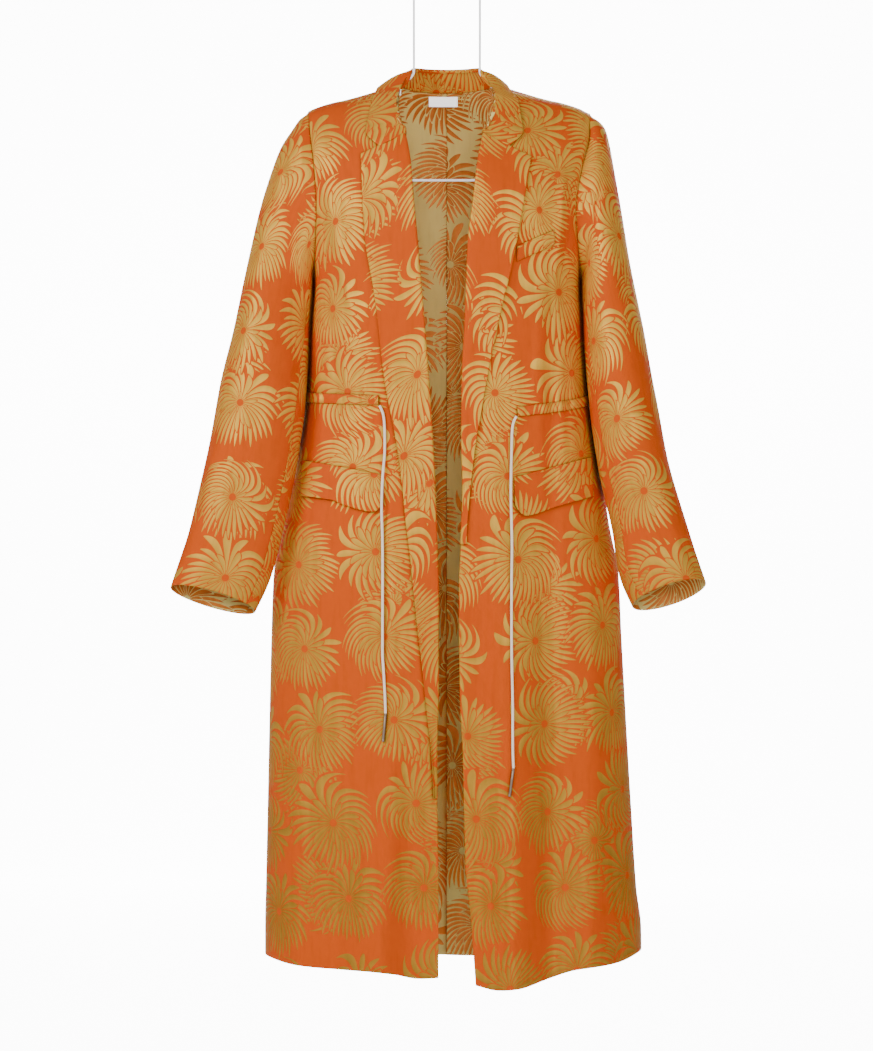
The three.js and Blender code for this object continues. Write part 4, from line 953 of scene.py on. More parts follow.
def smooth_path(points, step):
    """Evenly spaced points on a smooth curve through the given ones, in millimetres."""
    points = np.array(points, float)
    before = np.concatenate([[2 * points[0] - points[1]], points, [2 * points[-1] - points[-2]]])
    found = []
    for a, b, c, d in zip(before[:-3], before[1:-2], before[2:-1], before[3:]):
        ab, bc, cd = np.sqrt([np.linalg.norm(b - a), np.linalg.norm(c - b), np.linalg.norm(d - c)])
        leaving = (c - b) + bc * ((b - a) / ab - (c - a) / (ab + bc))
        arriving = (c - b) + bc * ((d - c) / cd - (d - b) / (bc + cd))
        count = max(2, int(np.ceil(np.linalg.norm(c - b) / step)))
        for t in np.linspace(0, 1, count, endpoint=False):
            found.append((2 * t**3 - 3 * t**2 + 1) * b + (t**3 - 2 * t**2 + t) * leaving
                         + (3 * t**2 - 2 * t**3) * c + (t**3 - t**2) * arriving)
    found.append(points[-1])
    return np.array(found)


def tube(name, path, radius, sides, material):
    """A closed round tube along a path. radius is one number or one for each point."""
    path = np.array(path, float)
    radius = np.broadcast_to(np.asarray(radius, float), (len(path),))
    tangents = unit(np.gradient(path, axis=0))
    side = unit(np.cross(tangents[0], [0.31, 0.95, 0.05]))
    angles = np.linspace(0, 2 * math.pi, sides, endpoint=False)
    rings = []
    for here, tangent, r in zip(path, tangents, radius):
        side = unit(side - tangent * np.dot(side, tangent))
        other = np.cross(tangent, side)
        rings.append(here + r * (np.cos(angles)[:, None] * side + np.sin(angles)[:, None] * other))
    corners = []
    for i in range(len(path) - 1):
        for j in range(sides):
            corners.append([(i, j), (i, j + 1), (i + 1, j + 1), (i + 1, j)])
    corners.append([(0, j) for j in reversed(range(sides))])
    corners.append([(len(path) - 1, j) for j in range(sides)])
    mesh = bpy.data.meshes.new(name)
    faces = [[i * sides + j % sides for i, j in face] for face in corners]
    mesh.from_pydata((np.concatenate(rings) * MM).tolist(), [], faces)
    mesh.materials.append(material)
    lengths = row_lengths(path, 0) * MM
    uv = np.array([(j / sides, lengths[i]) for face in corners for i, j in face])
    mesh.uv_layers.new(name="cloth").data.foreach_set("uv", uv.ravel())
    return place_piece(name, mesh)


STITCH_SIZES = {"Pitch": 0.0032, "Stitch": 0.0022, "Thread": 0.00028}


def stitch_tree():
    """A node tree that sews a row of stitches along a curve."""
    tree = bpy.data.node_groups.new("stitch_row", "GeometryNodeTree")
    socket = tree.interface.new_socket
    socket("Geometry", in_out="INPUT", socket_type="NodeSocketGeometry")
    for label, value in STITCH_SIZES.items():
        socket(label, in_out="INPUT", socket_type="NodeSocketFloat").default_value = value
    socket("Material", in_out="INPUT", socket_type="NodeSocketMaterial")
    socket("Geometry", in_out="OUTPUT", socket_type="NodeSocketGeometry")
    new, link = tree.nodes.new, tree.links.new
    start, end = new("NodeGroupInput"), new("NodeGroupOutput")
    resample = new("GeometryNodeResampleCurve")
    resample.mode = "LENGTH"
    ball = new("GeometryNodeMeshIcoSphere")
    ball.inputs["Subdivisions"].default_value = 1
    ball.inputs["Radius"].default_value = 1
    size = new("ShaderNodeCombineXYZ")
    half = new("ShaderNodeMath")
    half.operation = "MULTIPLY"
    half.inputs[1].default_value = 0.5
    tangent = new("GeometryNodeInputTangent")
    align = new("FunctionNodeAlignRotationToVector")
    align.axis = "Z"
    instance = new("GeometryNodeInstanceOnPoints")
    realize, dress = new("GeometryNodeRealizeInstances"), new("GeometryNodeSetMaterial")
    for source, output, target, entry in (
        (start, "Geometry", resample, "Curve"), (start, "Pitch", resample, "Length"),
        (start, "Stitch", half, 0), (start, "Thread", size, 0), (start, "Thread", size, 1),
        (half, 0, size, 2), (tangent, 0, align, "Vector"), (resample, 0, instance, "Points"),
        (ball, 0, instance, "Instance"), (align, 0, instance, "Rotation"), (size, 0, instance, "Scale"),
        (instance, 0, realize, 0), (realize, 0, dress, 0), (start, "Material", dress, "Material"),
        (dress, 0, end, 0),
    ):
        link(source.outputs[output], target.inputs[entry])
    return tree


def sew(name, rows, material, pitch, stitch, thickness, slot="cloth"):
    """Rows of stitches as one plain mesh. Each row is a list of points in millimetres."""
    curve = bpy.data.curves.new(name + "_rows", "CURVE")
    curve.dimensions = "3D"
    for row in rows:
        spline = curve.splines.new("POLY")
        spline.points.add(len(row) - 1)
        for spot, place in zip(spline.points, np.array(row) * MM):
            spot.co = (*place, 1)
    carrier = bpy.data.objects.new(name + "_rows", curve)
    bpy.context.scene.collection.objects.link(carrier)
    tree = bpy.data.node_groups.get("stitch_row") or stitch_tree()
    modifier = carrier.modifiers.new("stitches", "NODES")
    modifier.node_group = tree
    inputs = {item.name: item.identifier for item in tree.interface.items_tree if item.in_out == "INPUT"}
    values = {"Pitch": pitch, "Stitch": stitch, "Thread": thickness, "Material": material}
    for label, value in values.items():
        modifier[inputs[label]] = value
    evaluated = carrier.evaluated_get(bpy.context.evaluated_depsgraph_get())
    mesh = bpy.data.meshes.new_from_object(evaluated)
    bpy.data.objects.remove(carrier)
    piece = place_piece(name, mesh)
    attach(piece, "root")
    return piece


# What the pieces share while the scene is made.
MADE = {}


def colour(name):
    return [*getattr(bpy.context.scene.coat_colours, name), 1]


def cloth_materials():
    """The satin's face and its reverse, where gold and orange change places."""
    if "satin" not in MADE:
        # The two triples darken each side's ground and flowers towards the hem as painted shade; the last
        # number is the reach of shade from other cloth.
        MADE["satin"] = (
            satin("satin_face", colour("ground"), colour("gold"),
                  (0.97, 0.98, 1), (0.56, 0.50, 0.46), 0.007),
            satin("satin_reverse", colour("reverse_gold"), colour("reverse_orange"),
                  (0.62, 0.64, 0.66), (0.8, 0.8, 0.8), 0.05),
        )
    return MADE["satin"]


def cut_piece(node, grid, away, uv, thickness=CLOTH, materials=None):
    """One cut piece of cloth, for the solid of that name."""
    piece = shell(f"{node}_cloth", grid, away, uv, materials or cloth_materials(), thickness)
    hang(piece, node)
    MADE[node] = grid


def ride_on(side, x, drop, height, is_front=True):
    """Places at a height above a front or back, in millimetres, along the way out of its surface."""
    surface = front_y if is_front else back_y
    facing = -1 if is_front else 1
    x, drop = np.broadcast_arrays(np.asarray(x, float), np.asarray(drop, float))
    y = surface(side, x, drop)
    by_x = (surface(side, x + 1, drop) - surface(side, x - 1, drop)) / 2
    by_drop = (surface(side, x, drop + 1) - surface(side, x, drop - 1)) / 2
    by_x = np.clip(by_x, -STEEPEST, STEEPEST)
    normal = unit(np.stack([-facing * by_x, facing * np.ones_like(x), facing * by_drop], axis=-1))
    here = np.stack([x, y, -HANG_DROP - drop], axis=-1) + normal * np.asarray(height)[..., None]
    return here * np.array([SIDES[side], 1, 1])


def length_property(name, description, default, least):
    return FloatProperty(name=name, description=description, default=default, min=least,
                         subtype="DISTANCE", unit="LENGTH")


def colour_property(name, description, default):
    return FloatVectorProperty(name=name, description=description, default=default, min=0, max=1,
                               subtype="COLOR")


class CoatSizes(bpy.types.PropertyGroup):
    """Sizes that can be changed."""

    stitch_pitch: length_property("Stitch pitch", "From one stitch to the next", 0.0032, 0.001)
    cord_diameter: length_property("Cord diameter", "Thickness of the drawstring", 0.0032, 0.001)
    camera_distance: length_property("Camera distance", "From the camera to the coat's front", 6.5, 1)


class CoatColours(bpy.types.PropertyGroup):
    """Colours that can be changed."""

    ground: colour_property("Ground", "Orange ground of the face", (0.66, 0.088, 0.006))
    gold: colour_property("Flowers", "Golden flowers of the face", (0.94, 0.51, 0.066))
    reverse_gold: colour_property("Reverse ground", "Golden ground of the reverse", (1.0, 0.78, 0.25))
    reverse_orange: colour_property("Reverse flowers", "Flowers of the reverse", (0.92, 0.27, 0.045))
    thread: colour_property("Thread", "Sewing thread", (0.55, 0.16, 0.04))
    cord: colour_property("Cord", "Drawstring braid", (0.84, 0.70, 0.56))
    metal: colour_property("Metal", "Cord ends", (0.30, 0.23, 0.17))
    rod: colour_property("Rods", "Hanger paint", (0.90, 0.90, 0.88))
    label: colour_property("Label", "Neck label", (0.98, 0.97, 0.94))


class CoatCamera(bpy.types.Operator):
    """Adds the camera at the photo's height and side."""

    bl_idname = "coat.camera"
    bl_label = "Camera"

    def execute(self, context):
        distance = context.scene.coat_sizes.camera_distance
        data = bpy.data.cameras.new("camera")
        data.sensor_width = SENSOR_MM
        data.lens = SENSOR_MM * distance / (PHOTO_HEIGHT * PHOTO_PIXEL * MM)
        camera = bpy.data.objects.new("camera", data)
        camera.location = (CAMERA_X, -distance - FRONT_PLANE, CAMERA_Z)
        camera.rotation_euler = (math.radians(90), 0, 0)
        context.scene.collection.objects.link(camera)
        context.scene.camera = camera
        return {"FINISHED"}


class CoatCords(bpy.types.Operator):
    """Adds the drawstring's free ends and their metal tips."""

    bl_idname = "coat.cords"
    bl_label = "Cords"

    def execute(self, context):
        braid = cord_material(colour("cord"))
        metal = worn_material_with_painted_glow("aglet_metal", colour("metal"), 0.85, 0.3, 500.0, 0.0001)
        diameter = context.scene.coat_sizes.cord_diameter
        for side in SIDES:
            path = self.clear(side, smooth_path([point(*p) for p in CORD_ROUTE[side]], 2.5))
            cord = tube(f"cord_{side}_braid", path, diameter / MM / 2, 16, braid)
            tip = tube(f"aglet_{side}_tip", *self.tip_shape(side, path[-1]), 20, metal)
            hang(cord, f"cord_{side}")
            hang(tip, f"aglet_{side}")
        return {"FINISHED"}

    def clear(self, side, path):
        """The cord's path moved forward wherever the cloth or the flap under it stands nearer."""
        x, drop = np.abs(path[:, 0]), -HANG_DROP - path[:, 2]
        over_flap = smooth((drop - FLAP_DROPS[0]) / 12) * (1 - smooth((drop - FLAP_DROPS[1]) / 25))
        path = path.copy()
        path[:, 1] = np.minimum(path[:, 1], front_y(side, x, drop) - CORD_LIE - FLAP_STANDS * over_flap)
        return relaxed(path, 12)

    def tip_shape(self, side, cord_end):
        """A crimped tube: path and radius, ending in an open hollow at its foot."""
        top, foot = [point(*p) for p in AGLET_ENDS[side]]
        top[1] = cord_end[1]
        foot[1] = min(foot[1], float(front_y(side, abs(foot[0]), -HANG_DROP - foot[2])) - TIP_LIE)
        path = np.array([mix(top, foot, share) for share, _ in TIP_STATIONS])
        return path, [radius for _, radius in TIP_STATIONS]


class CoatPanels(bpy.types.Operator):
    """Makes the fronts and backs."""

    bl_idname = "coat.panels"
    bl_label = "Fronts and backs"

    def execute(self, context):
        grids = {}
        for side in SIDES:
            grids[f"front_{side}"] = front_grid(side, np.linspace(0, 1, 56))
            grids[f"back_{side}"] = back_grid(side, np.linspace(0, 1, 64))
        for name, grid in grids.items():
            away = FORWARD if "front" in name else BACKWARD
            cut_piece(name, grid, away, panel_uv(grid, len(YOKE_STEPS), PATTERN[name]))
        MADE["trees"] = {name: surface_tree(grid) for name, grid in grids.items()}
        return {"FINISHED"}


def surface_tree(grid):
    faces = grid_faces(*grid.shape[:2], 0, False)
    return BVHTree.FromPolygons([Vector(p) for p in grid.reshape(-1, 3)], faces.tolist())


def sleeve_ring(side, i, turns):
    """The rings of a sleeve at fractional rows of its table, and their middles."""
    rows = [(k, *row) for k, row in enumerate(SLEEVE_ROWS[side])]
    table = Table(SLEEVE_COLUMNS, rows)
    sign = SIDES[side]
    value = {name: table.at(name, i)[:, None] for name in SLEEVE_COLUMNS[1:]}
    tilt = (CUFF_TILT * smooth((i - TILT_ROW) / (len(rows) - 1 - TILT_ROW)))[:, None]
    top = point(sign * value["outer_x"], -value["forward"], value["outer_drop"])
    under = point(sign * value["inner_x"], -value["forward"], value["inner_drop"])
    middle, half = (top + under) / 2, (top - under) / 2
    deep = value["half_depth"][..., None] * np.stack([0 * tilt, -np.cos(tilt), np.sin(tilt)], axis=-1)
    angle = turns[None, :, None]
    return middle + half * np.cos(angle) + deep * np.sin(angle), middle


class CoatSleeves(bpy.types.Operator):
    """Makes the two-piece sleeves from the armholes to the cuffs."""

    bl_idname = "coat.sleeves"
    bl_label = "Sleeves"

    def execute(self, context):
        front_seam = FRONT_SEAM_STEP / FRONT_ROWS * math.pi
        back_seam = math.pi + (BACK_ROWS - BACK_SEAM_STEP) / BACK_ROWS * math.pi
        for side in SIDES:
            self.make(side, "top", np.linspace(back_seam - 2 * math.pi, front_seam, 56))
            self.make(side, "under", np.linspace(front_seam, back_seam, 26))
        return {"FINISHED"}

    def loop(self, side, turns):
        """The armhole's edge, by the turn from the shoulder forwards round the underarm."""
        turn = np.mod(turns, 2 * math.pi)
        tip = float(ARMHOLE.at(side, 0))
        drop = armhole_drop(float(shoulder_seam(tip)[1]), turn / math.pi)
        x = ARMHOLE.at(side, drop)
        front = point(SIDES[side] * x, front_y(side, x, drop), drop)
        back = back_edge(side, BACK_ROWS * (2 * math.pi - turn) / math.pi)
        return np.where((turn <= math.pi)[:, None], front, back)

    def make(self, side, part, turns):
        body, middle = sleeve_ring(side, np.linspace(0, len(SLEEVE_ROWS[side]) - 1, 118), turns)
        loop = self.loop(side, turns)[None]
        joined = mix(loop, body[:1], np.linspace(0, 1, 6)[1:-1, None, None])
        grid = relaxed(np.concatenate([loop, joined, body]), 8)
        away = unit(grid - np.concatenate([np.repeat(middle[:1], 5, axis=0), middle]))
        down = row_lengths(grid, 0).mean(axis=1)
        grid = grid + away * self.creases(side, down, turns)[..., None]
        around = row_lengths(grid, 1)
        front = np.argmin(np.abs(turns - math.pi / 2)) if part == "top" else 0
        lengths = row_lengths(grid, 0)
        along = -SIDES[side] * (around - around[:, [front]])
        name = f"{part}_sleeve_{side}"
        cut_piece(name, grid, away, cloth_uv(along, lengths - lengths[-1:] + down[-1], PATTERN[name]))

    def creases(self, side, down, turns):
        """How far the creases stand out, none at the seams, the armhole and the cuff."""
        degrees = np.degrees(turns)[None, :]
        height = np.zeros((len(down), len(turns)))
        for v, turn, dv, dturn, rise, slant in SLEEVE_CREASES[side]:
            along = down[:, None] - v - slant * (degrees - turn)
            height += rise * np.exp(-((along / dv) ** 2) - ((degrees - turn) / dturn) ** 2)
        ends = smooth(down / 40)[:, None] * smooth((down[-1] - down) / 30)[:, None]
        seams = np.sin(math.pi * (turns - turns[0]) / (turns[-1] - turns[0]))[None, :] ** 0.5
        return height * ends * seams


class CoatLapels(bpy.types.Operator):
    """Makes the turned front edges."""

    bl_idname = "coat.lapels"
    bl_label = "Lapels"

    def execute(self, context):
        v = np.linspace(0, 1, 190)[:, None]
        u = np.linspace(0, 1, 30)[None, :] ** 1.25
        for side, sign in SIDES.items():
            edge = LAPEL_EDGE[side]
            first, last = edge.keys[0], edge.keys[-1]
            roll, free = mix(GORGE_DROP, last, v), mix(first, last, v)
            roll_x, free_x = FRONT_EDGE.at(side, roll), edge.at("x", free)
            x, drop = mix(roll_x - LAPEL_TURN, free_x, u), mix(roll, free, u)
            from_roll = x - roll_x + LAPEL_TURN
            width = np.maximum(free_x - roll_x, 1)
            swell = 2.6 * (1 - np.exp(-from_roll / 3.2)) * np.exp(-from_roll / 38)
            lifted = 1.5 * u**5 * (1 + 0.4 * np.sin(drop / 34))
            raised = LIE + swell * clamp01(width / 40) * (1 - 0.6 * v) + lifted
            grid = ride_on(side, x, drop, CLOTH * smooth(from_roll / 1.5) + raised)
            down = row_lengths(grid, 0)[:, -1:]
            name = f"lapel_{side}"
            uv = cloth_uv(-sign * np.abs(grid[..., 0]), down, PATTERN[name])
            cut_piece(name, grid, FORWARD, uv, TRIM_CLOTH)
        return {"FINISHED"}


class CoatCollar(bpy.types.Operator):
    """Makes the collar's stand and its turned fall."""

    bl_idname = "coat.collar"
    bl_label = "Collar"

    def line(self, side, row, is_gorge):
        """One line of the fall, from the fold down to its outer edge."""
        fold_drop, fold_y, fold_right, fold_left, edge_drop, edge_right, edge_left, lies = row
        fold_x, edge_x = (fold_right, edge_right) if side == "right" else (fold_left, edge_left)
        fold = point(SIDES[side] * fold_x, fold_y, fold_drop)
        facing = {"front": -1, "back": 1, "ridge": 0}[lies]
        if lies == "ridge":
            edge_drop = float(RIDGE.at("drop", edge_x)) - FALL_LIE
            edge = point(SIDES[side] * edge_x, RIDGE_BACK - FALL_LIE, edge_drop)
        else:
            surface = front_y if lies == "front" else back_y
            edge_y = float(surface(side, edge_x, edge_drop)) + facing * FALL_LIE
            edge = point(SIDES[side] * edge_x, edge_y, edge_drop)
        share = np.linspace(0, 1, 26)
        bulge = np.sin(math.pi * share)
        lift = 0 if is_gorge else (1 if lies == "front" else 3.5)
        puffed = np.stack([0 * share, facing * 2 * bulge, lift * bulge], axis=-1)
        return mix(fold, edge, share[:, None]) + puffed

    def execute(self, context):
        right, left = [[self.line(side, row, i == 0) for i, row in enumerate(COLLAR_ROWS)] for side in SIDES]
        rough = np.array(right + left[:-1][::-1])
        keys = np.arange(len(rough), dtype=float)
        fine = np.linspace(0, len(rough) - 1, FALL_LINES)
        curves = [Table(["k", "v"], np.stack([keys, c], axis=1)) for c in rough.reshape(len(rough), -1).T]
        grid = np.stack([curve.at("v", fine) for curve in curves], axis=1)
        grid = self.cleared(grid.reshape(len(fine), *rough.shape[1:]))
        grid[1:-1] = relaxed(grid, 3)[1:-1]
        grid = self.cleared(grid)
        grid[[0, -1], :, 2] += 0.2
        full = np.concatenate([self.roll(grid[:, 0]), grid[:, 1:]], axis=1)
        uv = cloth_uv(row_lengths(full, 0)[:, [20]], row_lengths(full, 1), PATTERN["collar_fall"])
        cut_piece("collar_fall", full, unit(full - point(0, 0, 140)), uv, TRIM_CLOTH)
        self.stand(full)
        return {"FINISHED"}

    def roll(self, fold):
        """The fall's upper edge, rolled over the fold and down behind it."""
        inward = unit(-np.stack([fold[:, 0], fold[:, 1], 0 * fold[:, 0]], axis=-1))
        lines = []
        for angle in np.radians(np.linspace(180, 15, 8)):
            away = FOLD_RADIUS * (UPWARD * math.sin(angle) - inward * math.cos(angle))
            lines.append(fold + inward * FOLD_RADIUS + away - UPWARD * FOLD_RADIUS * 0.4)
        return np.stack([lines[0] - 4.0 * UPWARD, *lines], axis=1)

    def cleared(self, grid):
        """Moves the points that come too near the shoulders out to where the cloth would lie."""
        grid = grid.copy()
        for index in np.ndindex(grid.shape[:2]):
            spot = Vector(grid[index])
            side = "right" if spot.x < 0 else "left"
            found = [MADE["trees"][f"{part}_{side}"].find_nearest(spot) for part in ("front", "back")]
            place, _, _, distance = min((hit for hit in found if hit[0] is not None), key=lambda hit: hit[3])
            away = spot - place
            outside = away.dot(place - Vector((0, 0, min(place.z, -HANG_DROP - 120)))) > 0
            if outside and distance >= FALL_ROOM:
                continue
            if away.length > 1e-6:
                grid[index] = place + (away if outside else -away).normalized() * FALL_ROOM
        return grid

    def stand(self, fall):
        """The upright part, from the neck seam to the inside of the fold."""
        feet = []
        for side, sign in SIDES.items():
            drops = np.linspace(73, NECK_SIDE_DROP, 40)
            x = FRONT_EDGE.at(side, drops)
            front = point(sign * x, front_y(side, x, drops), drops)
            angle = np.linspace(math.pi / 2, 0, 30)
            back = point(sign * NECK_HALF_WIDTH * np.sin(angle), NECK_BACK_DEPTH * np.cos(angle),
                         NECK_SIDE_DROP + NECK_BACK_FALL * np.cos(angle))
            feet.append(np.concatenate([front, back[1:]]))
        foot = self.even(np.concatenate([feet[0], feet[1][::-1][1:]]), 150)
        top = self.even(fall[STAND_INSET:-STAND_INSET, 1], 150)
        up = np.linspace(0, 1, 9)[None, :, None]
        grid = mix(foot[:, None], top[:, None], up)
        away = unit(grid * np.array([1, 1, 0]))
        grid = grid + away * (1.2 * np.sin(math.pi * up))
        uv = cloth_uv(row_lengths(grid, 0)[:, [4]], -row_lengths(grid, 1), PATTERN["collar_stand"])
        face = cloth_materials()[0]
        cut_piece("collar_stand", grid, away, uv, TRIM_CLOTH, (face, face))

    def even(self, path, count):
        lengths = row_lengths(path, 0)
        places = np.linspace(0, lengths[-1], count)
        return np.stack([np.interp(places, lengths, path[:, k]) for k in range(3)], axis=-1)


class CoatPockets(bpy.types.Operator):
    """Makes the pocket flaps and the breast welt."""

    bl_idname = "coat.pockets"
    bl_label = "Pocket flaps and welt"

    def execute(self, context):
        for side in SIDES:
            x, down = self.spread(FLAP[side], 48, 18)
            height = 2.4 * down**1.3 + 0.8 * np.sin(x / 12) * down + 0.8 * (1 - down) ** 4
            self.make(f"pocket_flap_{side}", side, FLAP[side], x, down, height)
        x, down = self.spread(WELT, 30, 10)
        self.make("breast_welt", "left", WELT, x, down, 0.5 * np.sin(math.pi * down))
        return {"FINISHED"}

    def spread(self, table, columns, rows):
        """A table's places across a piece, and shares of the way down it."""
        places = np.linspace(table.keys[0], table.keys[-1], columns)
        return np.meshgrid(places, np.linspace(0, 1, rows), indexing="ij")

    def make(self, node, side, table, x, down, height):
        drop = mix(table.at("top", x), table.at("bottom", x), down)
        grid = ride_on(side, x, drop, LIE + CLOTH + height)
        cut_piece(node, grid, FORWARD, cloth_uv(SIDES[side] * x, drop, PATTERN[node]))


class CoatCasing(bpy.types.Operator):
    """Makes the gathered casing round the waist."""

    bl_idname = "coat.casing"
    bl_label = "Waist casing"

    def strip(self, side, shares, is_front):
        """One side's stretch of the casing, with the cloth gathered along it."""
        up = np.linspace(0, 1, 13)[None, :]
        s = shares[:, None]
        along = (s - shares[0]) / (shares[-1] - shares[0]) if is_front else s
        start = CASING[side]["inner_drop"] if is_front else CASING_BACK_DROP
        drop = mix(start, CASING[side]["side_drop"], along) + CASING_HEIGHT * (up - 0.5)
        inner = FRONT_EDGE.at(side, drop) if is_front else 0
        x = mix(inner, BODY.at(side, drop), round_share(s))
        beat = np.sin(x / 2.1 + np.sin(x / 7.3)) + 0.5 * np.sin(x / 1.27 + 1)
        puff = CASING_PUFF * np.sin(math.pi * up) ** 0.7 * (1 + 0.22 * beat)
        return ride_on(side, np.minimum(x, BODY.at(side, drop) - 0.4), drop, LIE + CLOTH + puff, is_front)

    def share_at(self, side):
        """Where the casing of a front begins, as a share of the front's way round."""
        casing = CASING[side]
        inner = FRONT_EDGE.at(side, casing["inner_drop"])
        across = (casing["inner_x"] - inner) / (BODY.at(side, casing["inner_drop"]) - inner)
        return float(np.arcsin(across ** (HEM_ROUNDNESS / 2)) / (math.pi / 2))

    def execute(self, context):
        fronts = [self.strip(side, np.linspace(self.share_at(side), CASING_END, 90), True) for side in SIDES]
        right, left = [self.strip(side, np.linspace(0, CASING_END, 130), False) for side in SIDES]
        for name, grid in zip(CASING_NODES, [*fronts, np.concatenate([right[::-1][:-1], left])]):
            away = BACKWARD if name == "casing_back" else FORWARD
            uv = cloth_uv(row_lengths(grid, 0), row_lengths(grid, 1), PATTERN[name])
            cut_piece(name, grid, away, uv, CASING_CLOTH)
        return {"FINISHED"}


class CoatLabel(bpy.types.Operator):
    """Makes the blank neck label and its stitches."""

    bl_idname = "coat.label"
    bl_label = "Neck label"

    def execute(self, context):
        x, drop = np.meshgrid(np.linspace(*LABEL_X, 24), np.linspace(*LABEL_DROP, 10), indexing="ij")
        inside = np.vectorize(self.inside_back)(x, drop) - CLOTH - LABEL_LIE
        grid = point(x, np.minimum(inside, inside[:, :1]), drop)
        material = label_material(colour("label"))
        uv = cloth_uv(x, drop, (0, 0))
        cut_piece("neck_label", grid, FORWARD, uv, LABEL_CLOTH, (material, material))
        rows = [grid[k] + 0.15 * FORWARD for k in (1, -2)]
        sew("neck_label_stitches", rows, thread_material(colour("label")), 0.0017, 0.0012, 0.00016, "label")
        return {"FINISHED"}

    def inside_back(self, x, drop):
        """The y of the back's outer face at a place seen from the front, in millimetres."""
        tree = MADE["trees"]["back_right" if x < 0 else "back_left"]
        place = tree.ray_cast(Vector((x, 0, -HANG_DROP - drop)), Vector((0, 1, 0)))[0]
        return place.y if place else NECK_BACK_DEPTH


class CoatSewing(bpy.types.Operator):
    """Sews the casing, the pockets and the hems."""

    bl_idname = "coat.sewing"
    bl_label = "Sewing"

    def execute(self, context):
        pitch = context.scene.coat_sizes.stitch_pitch
        material = thread_material(colour("thread"))
        rows = [MADE[name][:, k] for name in CASING_NODES for k in (1, -2)]
        sew("casing_stitches", rows, material, pitch, *SEAM_STITCH)
        rows = [MADE[f"pocket_flap_{side}"][1:-1, 1] for side in SIDES]
        rows += [MADE["breast_welt"][1:-1, k] for k in (1, -2)]
        rows += [MADE["breast_welt"][k] for k in (1, -2)]
        sew("pocket_stitches", [row + 0.1 * FORWARD for row in rows], material, pitch, *SEAM_STITCH)
        rows = [MADE[f"{part}_{side}"][-5, 1:-1] + 1.15 * inward
                for side in SIDES for part, inward in (("front", BACKWARD), ("back", FORWARD))]
        sew("hem_stitches", rows, material, HEM_PITCH, *HEM_STITCH)
        return {"FINISHED"}


class CoatHanger(bpy.types.Operator):
    """Makes the slim white rod hanger."""

    bl_idname = "coat.hanger"
    bl_label = "Rod hanger"

    def execute(self, context):
        # Painted glow: the rod paint gives off light, so the white rods fade into the white backdrop.
        paint = worn_material_with_painted_glow("rod_paint", colour("rod"), 0.0, 0.28, 300.0, 0.00004, 0.6)
        top = -HANG_DROP + ROD_RADIUS
        rods = {}
        for node, end, drop in (("top_bar", TOP_BAR_END, top), ("crossbar", CROSSBAR_END, CROSSBAR_DROP)):
            rods[f"hanger_{node}"] = ([(-end, 0, drop), (end, 0, drop)], ROD_RADIUS)
        for side, sign in SIDES.items():
            rods[f"hanger_upright_{side}"] = ([(sign * x, 0, drop) for x, drop in UPRIGHT], ROD_RADIUS)
            tip = float(ARMHOLE.at(side, 0))
            under = [mix(NECK_HALF_WIDTH, tip, share) for share in (0.2, 0.4, 0.6, 0.8)]
            arm = [ARM_START] + [(x, float(RIDGE.at("drop", x)) + ARM_BELOW) for x in under]
            rods[f"hanger_arm_{side}"] = ([(sign * x, ARM_BEHIND, drop) for x, drop in arm], ARM_RADIUS)
        for node, (points, radius) in rods.items():
            piece = tube(f"{node}_rod", smooth_path([point(*p) for p in points], 4), radius, 20, paint)
            hang(piece, node)
        return {"FINISHED"}


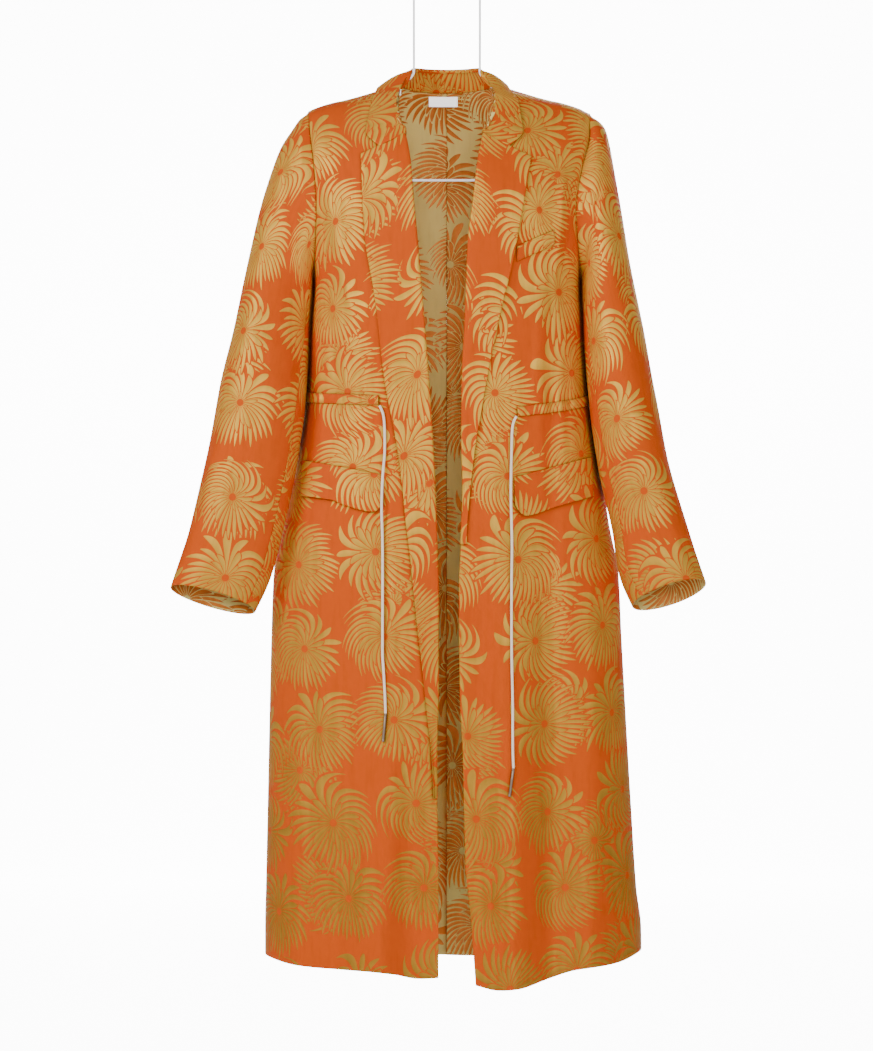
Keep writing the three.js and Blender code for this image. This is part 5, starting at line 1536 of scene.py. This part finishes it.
class CoatStage(bpy.types.Operator):
    """Adds the pale floor, its curved backdrop and the soft lights."""

    bl_idname = "coat.stage"
    bl_label = "Stage"

    def execute(self, context):
        profile = [(-STAGE_HALF_WIDTH, FLOOR_Z), (WALL_Y - CORNER_RADIUS, FLOOR_Z)]
        for a in np.radians(np.linspace(-90, 0, 24)[1:]):
            back, up = 1 - math.cos(a), 1 + math.sin(a)
            profile.append((WALL_Y - CORNER_RADIUS * back, FLOOR_Z + CORNER_RADIUS * up))
        profile.append((WALL_Y, WALL_TOP))
        verts = [(x, y, z) for y, z in profile for x in (-STAGE_HALF_WIDTH, STAGE_HALF_WIDTH)]
        faces = [(2 * k, 2 * k + 1, 2 * k + 3, 2 * k + 2) for k in range(len(profile) - 1)]
        mesh = bpy.data.meshes.new("floor")
        mesh.from_pydata(verts, [], faces)
        mesh.materials.append(self.glow())
        floor = place_piece("floor", mesh)
        world = bpy.data.worlds.new("studio")
        world.use_nodes = True
        world.node_tree.nodes["Background"].inputs[0].default_value = WHITE
        world.node_tree.nodes["Background"].inputs[1].default_value = SKY_STRENGTH
        context.scene.world = world
        for name, place, size, power in LIGHTS:
            data = bpy.data.lights.new(name, "AREA")
            data.shape = "SQUARE"
            data.size = size
            data.energy = power
            lamp = bpy.data.objects.new(name, data)
            lamp.location = place
            lamp.rotation_euler = (Vector(AIM) - Vector(place)).to_track_quat("-Z", "Y").to_euler()
            context.scene.collection.objects.link(lamp)
        return {"FINISHED"}

    def glow(self):
        """Matte white sheet, lit from within where it stands behind the coat."""
        s = Shader("pale_floor")
        where = s.place()
        x, y, z = s.split(where)
        cloud = s.noise(where, 3.0, 4.0)
        behind = (y - GLOW_START) / GLOW_FADES[0]
        beside = ((y - GLOW_APEX) * GLOW_SPREAD - x.maths("ABSOLUTE")) / GLOW_FADES[1] + 1
        below = (GLOW_TOP - z) / GLOW_FADES[2]
        lit = behind.clamped() * beside.clamped() * below.clamped()
        shade = s.mixed(cloud, (0.9, 0.9, 0.9, 1), (0.95, 0.95, 0.95, 1))
        shine = s.mixed(lit, BLACK, WHITE)
        strength = {"Emission Strength": GLOW_STRENGTH}
        return s.surface(strength, Base_Color=shade, Roughness=cloud * 0.1 + 0.65, Emission_Color=shine)


OPERATORS = [CoatCamera, CoatCords, CoatPanels, CoatSleeves, CoatLapels, CoatCollar, CoatPockets, CoatCasing,
             CoatLabel, CoatSewing, CoatHanger, CoatStage]


class CoatPanel(bpy.types.Panel):
    """Lists the steps that make the coat."""

    bl_idname = "VIEW3D_PT_coat"
    bl_label = "Coat"
    bl_space_type = "VIEW_3D"
    bl_region_type = "UI"
    bl_category = "Coat"

    def draw(self, context):
        for group in (context.scene.coat_sizes, context.scene.coat_colours):
            for name in group.__annotations__:
                self.layout.prop(group, name)
        for operator in OPERATORS:
            self.layout.operator(operator.bl_idname)


CLASSES = [CoatSizes, CoatColours, *OPERATORS, CoatPanel]


def register():
    for cls in CLASSES:
        bpy.utils.register_class(cls)
    bpy.types.Scene.coat_sizes = PointerProperty(type=CoatSizes)
    bpy.types.Scene.coat_colours = PointerProperty(type=CoatColours)


def unregister():
    del bpy.types.Scene.coat_sizes
    del bpy.types.Scene.coat_colours
    for cls in reversed(CLASSES):
        bpy.utils.unregister_class(cls)


def main():
    register()
    for operator in OPERATORS:
        group, name = operator.bl_idname.split(".")
        getattr(getattr(bpy.ops, group), name)()


if __name__ == "__main__":
    main()
